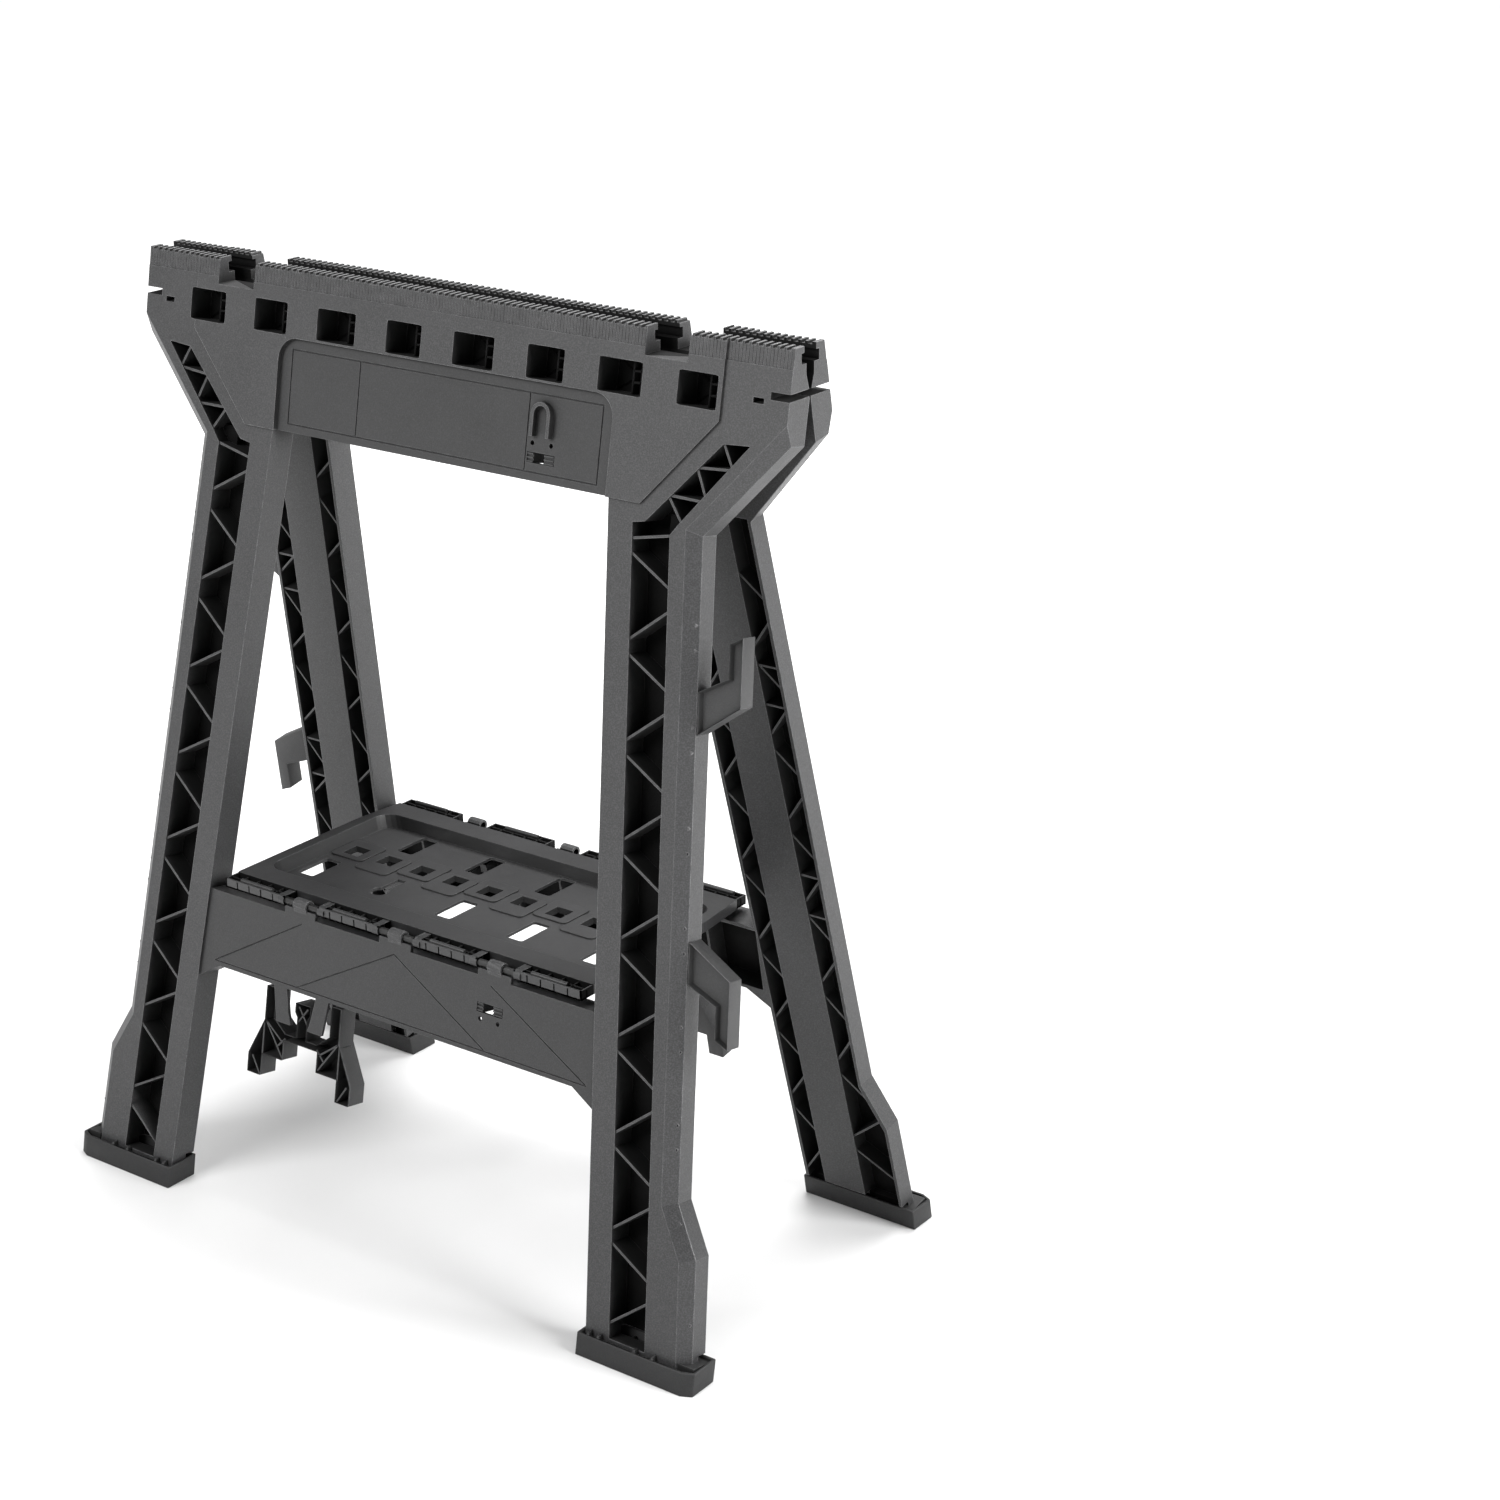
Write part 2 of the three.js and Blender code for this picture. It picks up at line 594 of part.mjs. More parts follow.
function makeHalf() {
  const lugs = hingeBars(hinge.lugRadius, hinge.lugWidth, lugOffset);
  const pockets = hingeBars(hinge.lugRadius + hinge.pocketGap, hinge.lugWidth + gap * 2, -lugOffset);
  const bores = hingeBars(hinge.pinRadius + gap, (hinge.lugWidth + hinge.lugGap) * 2, 0);
  const wide = halfBeam * 2;
  const footCut = levelBox([-wide, -wide, -wide], [wide, wide, foot.floor + gap]);
  const topCut = levelBox([-wide, -wide, standHeight], [wide, wide, standHeight + wide]);
  const plugOutline = rectangle(-wide, wide, -farOvershoot, footRimHeight + farOvershoot);
  const plugCut = slab(plugOutline, halfDepth - foot.plug, halfDepth * 2)
    .intersect(levelBox([-wide, -wide, -farOvershoot], [wide, wide, footRimHeight + gap]));
  let half = blank().add(beamFace());
  half = half.subtract(panelCuts()).add(hangerHood());
  half = half.subtract(join([windowCuts(), beamHollows(), jawCuts(), partingCut()]));
  const legCuts = channelCut().add(legHollows());
  half = half.subtract(legCuts).subtract(flip(legCuts));
  half = half.subtract(railCuts()).add(tongues()).add(railTabs());
  half = half.subtract(shelfPinBores(shelf.pinRadius + gap));
  half = half.add(lugs).subtract(pockets).subtract(bores);
  return half.subtract(join([footCut, topCut, plugCut]));
}

// The same solid on the other side of the middle
function flip(manifold) {
  const geometry = toGeometry(manifold);
  geometry.scale(-1, 1, 1);
  const index = geometry.index.array;
  for (let i = 0; i < index.length; i += 3) {
    [index[i], index[i + 1]] = [index[i + 1], index[i]];
  }
  return solid(geometry);
}

// A foot is a cup around the end of a leg, level with the floor
function makeFoot() {
  const rimBack = footRimHeight + halfDepth * Math.sin(lean) * 2;
  const left = innerEdge(rimBack) - foot.wall - gap;
  const right = bootEdge(0) + edgeBevel + foot.side;
  const outer = footOutline(left, right, -foot.proud, halfDepth, 0);
  const innerSpan = [left + foot.wall, right - foot.wall];
  const inner = footOutline(...innerSpan, foot.wall - foot.proud, halfDepth - foot.wall, 1);
  const tall = [-farOvershoot, footRimHeight + farOvershoot];
  const shell = depthPrism(outer, ...tall).subtract(depthPrism(inner, ...tall));
  const wide = halfBeam * 2;
  const base = depthPrism(outer, ...tall).intersect(levelBox([0, -wide, -1], [wide, wide, foot.floor]));
  const face = innerEdge(footRimHeight);
  const span = bootEdge(footRimHeight) - face;
  const ribTop = footRimHeight + rib;
  const ribs = foot.ribs.map((share) => {
    const x = face + span * share;
    return slab(rectangle(x - rib / 2, x + rib / 2, foot.floor, ribTop), foot.wall / 2 - foot.proud, -gap);
  });
  const rimLevel = levelBox([0, -wide, -1], [wide, wide, footRimHeight]);
  const level = levelBox([0, -wide, 0], [wide, wide, ribTop]);
  return join([shell.intersect(rimLevel), base, ...ribs]).intersect(level);
}

function footOutline(left, right, front, back, trim) {
  const [cornerX, cornerY] = [foot.cornerX - trim, foot.cornerY - trim];
  return [[left, front], [right - cornerX, front], [right, front + cornerY], [right, back], [left, back]]
    .map(([x, depth]) => new THREE.Vector2(x, depth - faceOut));
}

// An outline seen from above, pushed up the lean between two heights
function depthPrism(outline, low, high) {
  const depth = up(high) - up(low);
  const geometry = new THREE.ExtrudeGeometry(new THREE.Shape(outline), { depth, bevelEnabled: false });
  geometry.translate(0, 0, up(low));
  return solid(geometry);
}

// A hook beside the leg: an arm, and a post that points up or down along the leg
function makeHook(height, direction) {
  const side = new THREE.Vector2(outerEdge(height) + edgeBevel + gap, up(height));
  const down = point(outerEdge(height - 1), height - 1).sub(point(outerEdge(height), height)).normalize();
  const out = new THREE.Vector2(-down.y, down.x);
  const { base, reach, throat, armOuter, armInner, tipInner, tipOuter } = hook;
  const profile = [
    [0, -base / 2], [reach, armOuter], [reach, tipOuter],
    [throat, tipInner], [throat, armInner], [0, base / 2],
  ];
  const outline = profile.map(([across, along]) => (
    side.clone().addScaledVector(out, across).addScaledVector(down, along * direction)
  ));
  return slab(orient(outline), edgeBevelDepth + hook.setBack, fittingBack);
}

// The stock bracket: a ribbed saddle with a step for boards laid flat and a slot for boards on edge
function makeBracket() {
  const b = bracket;
  const height = railBottom;
  const rimTop = height - b.top - wall;
  const rightSide = [
    [b.cradleHalf, rimTop], [b.halfTop, rimTop], [b.halfTop, height - b.shoulder],
    [b.halfBottom, height - b.kink], [b.halfBottom, height - b.bottom],
    [b.halfStep, height - b.bottom], [b.halfStep, height - b.step],
    [b.halfSlot, height - b.step], [b.halfSlot, height - b.slotTop],
  ];
  const [cradle, tongueFoot, clipTop] = [height - b.cradle, height - b.tongueBottom, height - b.clipTop];
  const cradleRight = [
    [b.clipHalf, clipTop], [b.clipHalf, clipTop - b.clipBarb], [b.clipNeck, clipTop - b.clipShank],
    [b.clipNeck, cradle], [b.cradleHalf - b.cradleFlare, cradle], [b.cradleHalf, tongueFoot],
  ];
  const at = (side) => ([x, z]) => point(bracketX + side * x, z);
  const outline = [
    ...rightSide.map(at(1)),
    ...[...rightSide].reverse().map(at(-1)),
    ...[...cradleRight].reverse().map(at(-1)),
    ...cradleRight.map(at(1)),
  ];
  return slab(orient(outline), railRecess + b.tongueDepth + b.play, fittingBack);
}

// The shelf: a shallow tray in a level rim, with slots, sockets and knuckles along both long edges
function shelfPlan(points, low, high) {
  const shape = points instanceof THREE.Shape ? points : new THREE.Shape(orient(points));
  const depth = high - low;
  const geometry = new THREE.ExtrudeGeometry(shape, { depth, bevelEnabled: false, curveSegments });
  geometry.translate(0, 0, low);
  return solid(geometry);
}

function planRectangle(x1, x2, y1, y2) {
  return [[x1, y1], [x2, y1], [x2, y2], [x1, y2]].map(([x, y]) => new THREE.Vector2(x, y));
}

function planRounded(x, y, radius) {
  const shape = new THREE.Shape();
  shape.absarc(x - radius, -y + radius, radius, -Math.PI / 2, 0);
  shape.absarc(x - radius, y - radius, radius, 0, Math.PI / 2);
  shape.absarc(-x + radius, y - radius, radius, Math.PI / 2, Math.PI);
  shape.absarc(-x + radius, -y + radius, radius, Math.PI, Math.PI * 1.5);
  return shape;
}

// A strip across the shelf's long edge, from one distance to another on the front or rear side
function edgeStrip(x1, x2, side, near, far, low, high) {
  const [y1, y2] = [side * near, side * far].sort((p, q) => p - q);
  return shelfPlan(planRectangle(x1, x2, y1, y2), low, high);
}

// Knuckles and the lip that carries them, between the notches for the tabs
function shelfKnuckles(side) {
  const { notch, knuckleRadius, pinSides } = shelf;
  const edges = [-shelfRearHalf, ...tabXs.flatMap((x) => [x - notch / 2, x + notch / 2]), shelfRearHalf];
  const parts = [];
  for (let i = 0; i < edges.length; i += 2) {
    const [a, b] = [edges[i], edges[i + 1]];
    parts.push(solid(bar(knuckleRadius, b - a, (a + b) / 2, side * shelfAxisY, shelfAxisZ, pinSides)));
    const [near, low] = [shelfReach - shelf.knuckleOverlap, shelfTop - shelf.rim + 1];
    parts.push(edgeStrip(a, b, side, near, shelfAxisY, low, shelfTop));
  }
  return parts;
}

// Notches and pin bores along one long edge
function shelfEdgeCuts(side) {
  const half = shelf.notch / 2;
  const [near, far] = [shelfAxisY - shelf.notchInset, shelfAxisY + shelf.knuckleRadius + 1];
  const low = shelfTop - shelf.recess - shelf.floor;
  const length = shelfPinLength + gap * 2;
  return tabXs.flatMap((x) => [
    edgeStrip(x - half, x + half, side, near, far, low, shelfTop + overshoot),
    solid(bar(shelf.pinRadius + gap, length, x, side * shelfAxisY, shelfAxisZ, shelf.pinSides)),
  ]);
}

// Slots for hand tools in two rows, and a row of square sockets between them
function shelfHoles() {
  const { width, frontInset, rearGap, middleGap } = shelfSlots;
  const pitch = (trayX * 2 - shelfSlots.margin) / (shelfSlots.frontCount - 1);
  const rows = [
    [shelfSlots.frontCount, shelfSlots.firstInset, frontInset - trayY, shelfSockets.y - middleGap],
    [shelfSlots.rearCount, shelfSlots.rearInset, shelfSockets.y + middleGap, trayY - rearGap],
  ];
  const outlines = rows.flatMap(([count, inset, y1, y2]) => Array.from({ length: count }, (_, i) => {
    const x = inset - trayX + i * pitch;
    return planRectangle(x - width / 2, x + width / 2, y1, y2);
  }));
  const socketPitch = (trayX * 2 - shelfSockets.margin) / (shelfSockets.count - 1);
  const reach = shelfSockets.size / 2;
  for (let i = 0; i < shelfSockets.count; i += 1) {
    const x = shelfSockets.firstInset - trayX + i * socketPitch;
    outlines.push(planRectangle(x - reach, x + reach, shelfSockets.y - reach, shelfSockets.y + reach));
  }
  return outlines.map((outline) => shelfPlan(outline, 0, shelfTop));
}

function makeShelf() {
  const floorTop = shelfTop - shelf.recess;
  const floorLow = floorTop - shelf.floor;
  const rimOutline = [
    [-shelfHalf, -shelfReach], [shelfHalf, -shelfReach], [shelfHalf, shelf.taperStart],
    [shelfRearHalf, shelfReach], [-shelfRearHalf, shelfReach], [-shelfHalf, shelf.taperStart],
  ].map(([x, y]) => new THREE.Vector2(x, y));
  const pan = planRounded(trayX + shelf.floor, trayY + shelf.floor, shelf.cornerRadius + shelf.floor);
  const hollow = planRounded(trayX, trayY, shelf.cornerRadius);
  return shelfPlan(rimOutline, shelfTop - shelf.rim, shelfTop)
    .add(shelfPlan(pan, floorLow, shelfTop))
    .subtract(shelfPlan(hollow, floorTop, shelfTop + overshoot))
    .add(join([...shelfKnuckles(-1), ...shelfKnuckles(1)]))
    .subtract(join([...shelfEdgeCuts(-1), ...shelfEdgeCuts(1), ...shelfHoles()]));
}

// Materials
function plastic(name, color, roughness) {
  return new THREE.MeshStandardMaterial({ name, color, roughness, metalness: 0 });
}

const frameMaterial = plastic('frame_plastic', 0x3a3b3d, 0.55);
const footMaterial = plastic('foot_plastic', 0x343537, 0.6);
const shelfMaterial = plastic('shelf_plastic', 0x2f3032, 0.45);
const fittingMaterial = plastic('fitting_plastic', 0x303133, 0.5);
const steel = { name: 'pin_steel', color: 0x4a4b4d, roughness: 0.4, metalness: 1 };
const steelMaterial = new THREE.MeshStandardMaterial(steel);

function mesh(name, geometry, material) {
  const part = new THREE.Mesh(geometry, material);
  part.name = name;
  return part;
}

// Assembly
const sawhorse = new THREE.Group();
const halfGeometry = toGeometry(makeHalf());
const footGeometry = toGeometry(makeFoot());
const footFlipped = toGeometry(flip(makeFoot()));
const bracketGeometry = toGeometry(makeBracket());
const upperHook = toGeometry(makeHook(beamBottom - hook.upperDrop, -1));
const lowerHook = toGeometry(makeHook(railTop + hook.lowerRise, 1));

['front', 'rear'].forEach((end) => {
  const turned = new THREE.Group();
  turned.rotation.z = end === 'front' ? 0 : Math.PI;
  const leaning = new THREE.Group();
  leaning.position.z = pivotHeight;
  leaning.rotation.x = -lean;
  const [right, left] = end === 'front' ? ['right', 'left'] : ['left', 'right'];
  leaning.add(
    mesh(`${end}_frame`, halfGeometry, frameMaterial),
    mesh(`${end}_${right}_foot`, footGeometry, footMaterial),
    mesh(`${end}_${left}_foot`, footFlipped, footMaterial),
    mesh(`${end}_stock_bracket`, bracketGeometry, fittingMaterial),
    mesh(`${end}_upper_cord_hook`, upperHook, fittingMaterial),
    mesh(`${end}_lower_cord_hook`, lowerHook, fittingMaterial),
  );
  turned.add(leaning);
  sawhorse.add(turned);
});

const hingePinLength = hinge.lugWidth * 2 + hinge.lugGap;
const pinSets = [
  ['top_hinge_pin', stations, hinge.pinRadius, hingePinLength, hinge.sides, 0, pivotHeight],
  ['shelf_hinge_pin', tabXs, shelf.pinRadius, shelfPinLength, shelf.pinSides, -shelfAxisY, shelfAxisZ],
];
pinSets.forEach(([name, xs, radius, length, sides, y, z]) => xs.forEach((x, i) => {
  const pin = mesh(`${name}_${i + 1}`, bar(radius, length, 0, 0, 0, sides), steelMaterial);
  pin.position.set(x, y, z);
  sawhorse.add(pin);
}));

sawhorse.add(mesh('shelf', toGeometry(makeShelf()), shelfMaterial));

export default sawhorse;
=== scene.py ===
# Folding sawhorse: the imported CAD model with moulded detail, plastic finishes and a white studio
import math

import bpy
from mathutils import Matrix, Vector


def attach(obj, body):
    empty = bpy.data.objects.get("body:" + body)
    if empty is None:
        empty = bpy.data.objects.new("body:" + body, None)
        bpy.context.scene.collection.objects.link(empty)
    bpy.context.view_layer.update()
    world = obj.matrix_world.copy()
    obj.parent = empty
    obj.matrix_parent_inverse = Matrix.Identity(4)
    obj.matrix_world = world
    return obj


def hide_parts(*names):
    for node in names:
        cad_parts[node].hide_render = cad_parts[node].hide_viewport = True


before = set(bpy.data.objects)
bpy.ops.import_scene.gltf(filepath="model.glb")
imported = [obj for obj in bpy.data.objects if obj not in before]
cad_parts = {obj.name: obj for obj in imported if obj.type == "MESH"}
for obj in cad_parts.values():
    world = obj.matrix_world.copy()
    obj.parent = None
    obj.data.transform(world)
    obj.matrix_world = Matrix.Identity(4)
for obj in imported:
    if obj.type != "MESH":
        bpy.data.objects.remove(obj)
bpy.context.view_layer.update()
print("frame loaded")

# Sizes are in millimetres, as in the CAD model; mm turns them into Blender's metres
mm = 0.001
stand = {"height": 785, "hingeDrop": 40, "leanDegrees": 10.75, "depth": 24.6, "partingGap": 0.8,
         "beamHalf": 328}
lean = math.radians(stand["leanDegrees"])
pivotHeight = stand["height"] - stand["hingeDrop"]
faceOut = stand["depth"] + stand["partingGap"]
leanTurn = Matrix.Rotation(-lean, 4, "X")
leanPlace = Matrix.Translation((0, 0, pivotHeight * mm)) @ leanTurn
outward = (leanTurn @ Vector((0, -1, 0))).normalized()  # away from the face of the front legs
pivotReach = outward.dot(Vector((0, 0, pivotHeight * mm)))


def up(height):
    # distance up the leaning half of a height read on the face of its legs
    return (height - pivotHeight - faceOut * math.sin(lean)) / math.cos(lean)


def onHalf(x, depth, along):
    # a place on the front half: depth 0 is the face of the legs, along is the distance up
    return leanPlace @ Vector((x * mm, (depth - faceOut) * mm, along * mm))


def between(x1, z1, x2, z2):
    return lambda z: x1 + (x2 - x1) * (z - z1) / (z2 - z1)


# Blender's own tools, each left with nothing else selected
def clearSelection():
    if bpy.context.mode != "OBJECT":
        bpy.ops.object.mode_set(mode="OBJECT")
    bpy.ops.object.select_all(action="DESELECT")


def activate(piece):
    clearSelection()
    piece.select_set(True)
    bpy.context.view_layer.objects.active = piece
    return piece


def applyPlace():
    bpy.ops.object.transform_apply(location=True, rotation=True, scale=True)


def settle(name):
    # the primitive just added gets its name, and its place goes into its mesh
    piece = bpy.context.view_layer.objects.active
    piece.name = name
    piece.data.name = name
    applyPlace()
    return piece


def block(name, low, high):
    clearSelection()
    middle = [(a + b) / 2 * mm for a, b in zip(low, high)]
    span = [(b - a) * mm for a, b in zip(low, high)]
    bpy.ops.mesh.primitive_cube_add(size=1, location=middle, scale=span)
    return settle(name)


def leaningBlock(name, x1, x2, depth1, depth2, height1, height2):
    clearSelection()
    middle = onHalf((x1 + x2) / 2, (depth1 + depth2) / 2, (up(height1) + up(height2)) / 2)
    span = [(x2 - x1) * mm, (depth2 - depth1) * mm, (up(height2) - up(height1)) * mm]
    bpy.ops.mesh.primitive_cube_add(size=1, location=middle, rotation=(-lean, 0, 0), scale=span)
    return settle(name)


def leaningRib(name, a, b, thick, depth1, depth2):
    # a thin wall on the front half from one (x, height) to another
    clearSelection()
    start = Vector((a[0], up(a[1])))
    end = Vector((b[0], up(b[1])))
    run = end - start
    middle = onHalf((start.x + end.x) / 2, (depth1 + depth2) / 2, (start.y + end.y) / 2)
    turn = (leanTurn @ Matrix.Rotation(-math.atan2(run.y, run.x), 4, "Y")).to_euler()
    span = [run.length * mm, (depth2 - depth1) * mm, thick * mm]
    bpy.ops.mesh.primitive_cube_add(size=1, location=middle, rotation=turn, scale=span)
    return settle(name)


def rod(name, radius, x1, x2, y, z, sides):
    clearSelection()
    bpy.ops.mesh.primitive_cylinder_add(
        vertices=sides, radius=radius * mm, depth=(x2 - x1) * mm,
        location=((x1 + x2) / 2 * mm, y * mm, z * mm), rotation=(0, math.pi / 2, 0))
    return settle(name)


def joinPieces(name, pieces):
    activate(pieces[0])
    for piece in pieces[1:]:
        piece.select_set(True)
    if len(pieces) > 1:
        bpy.ops.object.join()
    joined = bpy.context.view_layer.objects.active
    joined.name = name
    joined.data.name = name
    return joined


def finishModifier(piece, kind, **settings):
    modifier = piece.modifiers.new(kind.title(), kind)
    for key, value in settings.items():
        setattr(modifier, key, value)
    activate(piece)
    bpy.ops.object.modifier_apply(modifier=modifier.name)
    return piece


def combine(piece, tool, operation="DIFFERENCE"):
    finishModifier(piece, "BOOLEAN", operation=operation, object=tool, solver="MANIFOLD")
    bpy.data.objects.remove(tool)
    return piece


def startPicking(piece, kind):
    activate(piece)
    bpy.ops.object.mode_set(mode="EDIT")
    bpy.ops.mesh.select_mode(type=kind)
    bpy.ops.mesh.select_all(action="DESELECT")
    bpy.ops.object.mode_set(mode="OBJECT")


def pickFaces(piece, test):
    startPicking(piece, "FACE")
    for face in piece.data.polygons:
        face.select = bool(test(face.center / mm, face.normal))
    bpy.ops.object.mode_set(mode="EDIT")


def pickEdges(piece, test):
    startPicking(piece, "EDGE")
    points = piece.data.vertices
    for edge in piece.data.edges:
        a, b = (points[i].co / mm for i in edge.vertices)
        edge.select = bool(test(a, b))
    bpy.ops.object.mode_set(mode="EDIT")


mending = {"mergeWithin": 0.005, "flatWithin": 0.6, "bevelSegments": 2, "bevelAbove": 28,
           "smoothBelow": 34}


def mergePoints(piece, dissolve=False):
    activate(piece)
    bpy.ops.object.mode_set(mode="EDIT")
    bpy.ops.mesh.select_all(action="SELECT")
    bpy.ops.mesh.remove_doubles(threshold=mending["mergeWithin"] * mm)
    if dissolve:
        bpy.ops.mesh.dissolve_limited(angle_limit=math.radians(mending["flatWithin"]))
    bpy.ops.object.mode_set(mode="OBJECT")
    return piece


def cleanUp(piece):
    # loose CAD triangles become whole flat faces
    return mergePoints(piece, dissolve=True)


def softenEdges(piece, width, clamp=False):
    finishModifier(piece, "BEVEL", width=width * mm, segments=mending["bevelSegments"],
                   limit_method="ANGLE", angle_limit=math.radians(mending["bevelAbove"]),
                   use_clamp_overlap=clamp, harden_normals=False)
    activate(piece)
    bpy.ops.object.shade_smooth_by_angle(angle=math.radians(mending["smoothBelow"]))
    return piece


def copyOf(piece, name):
    twin = bpy.data.objects.new(name, piece.data.copy())
    twin.data.name = name
    bpy.context.scene.collection.objects.link(twin)
    return activate(twin)


def cadCopy(node, name):
    return mergePoints(copyOf(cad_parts[node], name))


def turnedCopy(piece, name):
    # the same moulding for the rear half, turned half round the upright axis
    twin = copyOf(piece, name)
    twin.rotation_euler = (0, 0, math.pi)
    applyPlace()
    return twin


def mirroredCopy(piece):
    # the same piece on the left of the stand, its faces turned outwards again
    twin = copyOf(piece, piece.name)
    twin.scale = (-1, 1, 1)
    applyPlace()
    bpy.ops.object.mode_set(mode="EDIT")
    bpy.ops.mesh.select_all(action="SELECT")
    bpy.ops.mesh.normals_make_consistent(inside=False)
    bpy.ops.object.mode_set(mode="OBJECT")
    return twin


def place(piece, body, nodes, material):
    piece.data.materials.clear()
    piece.data.materials.append(material)
    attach(piece, body)
    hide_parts(*nodes)
    return piece


class Reading:
    # one socket of a node, so that sums on it add Math nodes
    def __init__(self, tree, socket):
        self.tree = tree
        self.socket = socket

    def work(self, operation, first, second):
        return self.tree.add("ShaderNodeMath", {"operation": operation}, {0: first, 1: second})

    def __add__(self, other):
        return self.work("ADD", self, other)

    def __radd__(self, other):
        return self.work("ADD", other, self)

    def __sub__(self, other):
        return self.work("SUBTRACT", self, other)

    def __rsub__(self, other):
        return self.work("SUBTRACT", other, self)

    def __mul__(self, other):
        return self.work("MULTIPLY", self, other)

    def __rmul__(self, other):
        return self.work("MULTIPLY", other, self)


class Nodes:
    # a node tree whose nodes all come from add
    def __init__(self, tree):
        self.tree = tree

    def add(self, kind, settings=None, inputs=None, output=0):
        node = self.tree.nodes.new(kind)
        for key, value in (settings or {}).items():
            setattr(node, key, value)
        for key, value in (inputs or {}).items():
            self.connect(node.inputs[key], value)
        return Reading(self, node.outputs[output])

    def connect(self, socket, value):
        if isinstance(value, Reading):
            self.tree.links.new(value.socket, socket)
        else:
            socket.default_value = value

    def objectPlace(self):
        return self.add("ShaderNodeTexCoord", output=3)

    def noise(self, where, scale, detail, **inputs):
        return self.add("ShaderNodeTexNoise", {},
                        {"Vector": where, "Scale": scale, "Detail": detail, **inputs})

    def spread(self, reading, low, high, toLow, toHigh):
        return self.add("ShaderNodeMapRange", {},
                        {0: reading, 1: low, 2: high, 3: toLow, 4: toHigh})

    def blend(self, share, first, second):
        return self.add("ShaderNodeMix", {"data_type": "RGBA"}, {0: share, 6: first, 7: second}, 2)


class Finish(Nodes):
    # the node tree of a material
    def __init__(self, name):
        self.material = bpy.data.materials.new(name)
        self.material.use_nodes = True
        super().__init__(self.material.node_tree)
        self.shader = self.tree.nodes["Principled BSDF"]

    def surface(self, **values):
        for key, value in values.items():
            self.connect(self.shader.inputs[key.replace("_", " ")], value)


# What all the moulded plastics share: sizes of their patterns, and how far each one shows
moulding = {"cloudScale": 9.0, "mottleScale": 160.0, "pitScale": 1.4, "grainDepth": 0.0004,
            "hiddenFrom": 0.52, "hiddenTo": 0.92, "edgeFrom": 0.992, "edgeTo": 0.88,
            "mottleRough": 0.12, "cloudRough": 0.14, "rubbedRough": 0.08, "hiddenRough": 0.3,
            "grainShare": 0.6, "pitShare": 0.4}


def mouldedPlastic(name, look):
    # matt plastic: cloudy colour, a fine grain, edges painted lighter and smoother (part wear, part
    # painted highlight), and painted shade in recesses
    finish = Finish(name)
    where = finish.objectPlace()
    cloud = finish.noise(where, moulding["cloudScale"], 4.0, Roughness=0.55)
    mottle = finish.noise(where, moulding["mottleScale"], 3.0)
    grain = finish.noise(where, look["grainScale"], 3.0)
    pits = finish.add("ShaderNodeTexVoronoi", {},
                      {"Vector": where, "Scale": look["grainScale"] * moulding["pitScale"]})
    # the rounded normal softens each edge, and how far it strays from the true one marks it
    softNormal = finish.add("ShaderNodeBevel", {"samples": 4}, {"Radius": look["edgeRoundWidth"] * mm})
    trueNormal = finish.add("ShaderNodeNewGeometry", output=1)
    facing = finish.add("ShaderNodeVectorMath", {"operation": "DOT_PRODUCT"},
                        {0: softNormal, 1: trueNormal}, 1)
    # ambient occlusion marks the recesses, which get painted shade
    openness = finish.add("ShaderNodeAmbientOcclusion", {"samples": 8, "only_local": True},
                          {"Distance": look["hollow"] * mm}, 1)
    paintedRecessShade = finish.spread(openness, moulding["hiddenFrom"], moulding["hiddenTo"], 1.0, 0.0)
    edge = finish.spread(facing, moulding["edgeFrom"], moulding["edgeTo"], 0.0, 1.0)
    # edges painted lighter: partly rubbed wear, partly a painted highlight
    edgeWearAndHighlight = edge * finish.spread(mottle, 0.35, 0.62, 0.25, 1.0)
    base = finish.blend(finish.spread(cloud, 0.3, 0.7, 0.0, 1.0), look["deep"], look["pale"])
    speck = finish.spread(grain, 0.42, 0.7, 0.0, look["speck"])
    speckled = finish.blend(speck, base, look["dust"])
    wornAndLit = finish.blend(edgeWearAndHighlight * look["wearAndHighlight"], speckled, look["edgeWearAndHighlight"])
    # painted shade: the colour darkens towards hiddenShade in the recesses
    shaded = finish.blend(paintedRecessShade, wornAndLit, look["hiddenShade"])
    rough = (look["rough"] + (mottle - 0.5) * moulding["mottleRough"]
             + (cloud - 0.5) * moulding["cloudRough"]
             - edgeWearAndHighlight * moulding["rubbedRough"] + paintedRecessShade * moulding["hiddenRough"])
    height = grain * moulding["grainShare"] + pits * moulding["pitShare"]
    bump = finish.add("ShaderNodeBump", {},
                      {"Strength": look["bump"], "Distance": moulding["grainDepth"],
                       "Height": height, "Normal": softNormal})
    finish.surface(Base_Color=shaded, Roughness=rough, Normal=bump,
                   Specular_IOR_Level=look["specular"])
    return finish.material


def grey(value, tint=0.0):
    return (value, value, value * (1 + tint), 1)


# deep and pale are the cloudy colour, dust the specks, edgeWearAndHighlight the edges painted
# lighter as wear and as a painted highlight, and hollow how far into a recess the painted shade
# reaches
framePlastic = mouldedPlastic("framePlastic", {
    "deep": grey(0.021, 0.03), "pale": grey(0.029, 0.03), "dust": grey(0.085, 0.03),
    "edgeWearAndHighlight": grey(0.24, 0.02), "speck": 0.45, "wearAndHighlight": 0.8, "edgeRoundWidth": 1.1, "rough": 0.46,
    "bump": 0.3, "grainScale": 900.0, "specular": 0.5, "hollow": 34.0, "hiddenShade": grey(0.004)})
sunkPlastic = mouldedPlastic("sunkPlastic", {
    "deep": grey(0.014, 0.03), "pale": grey(0.019, 0.03), "dust": grey(0.055, 0.03),
    "edgeWearAndHighlight": grey(0.13, 0.02), "speck": 0.3, "wearAndHighlight": 0.6, "edgeRoundWidth": 1.1, "rough": 0.46,
    "bump": 0.2, "grainScale": 900.0, "specular": 0.5, "hollow": 34.0, "hiddenShade": grey(0.004)})
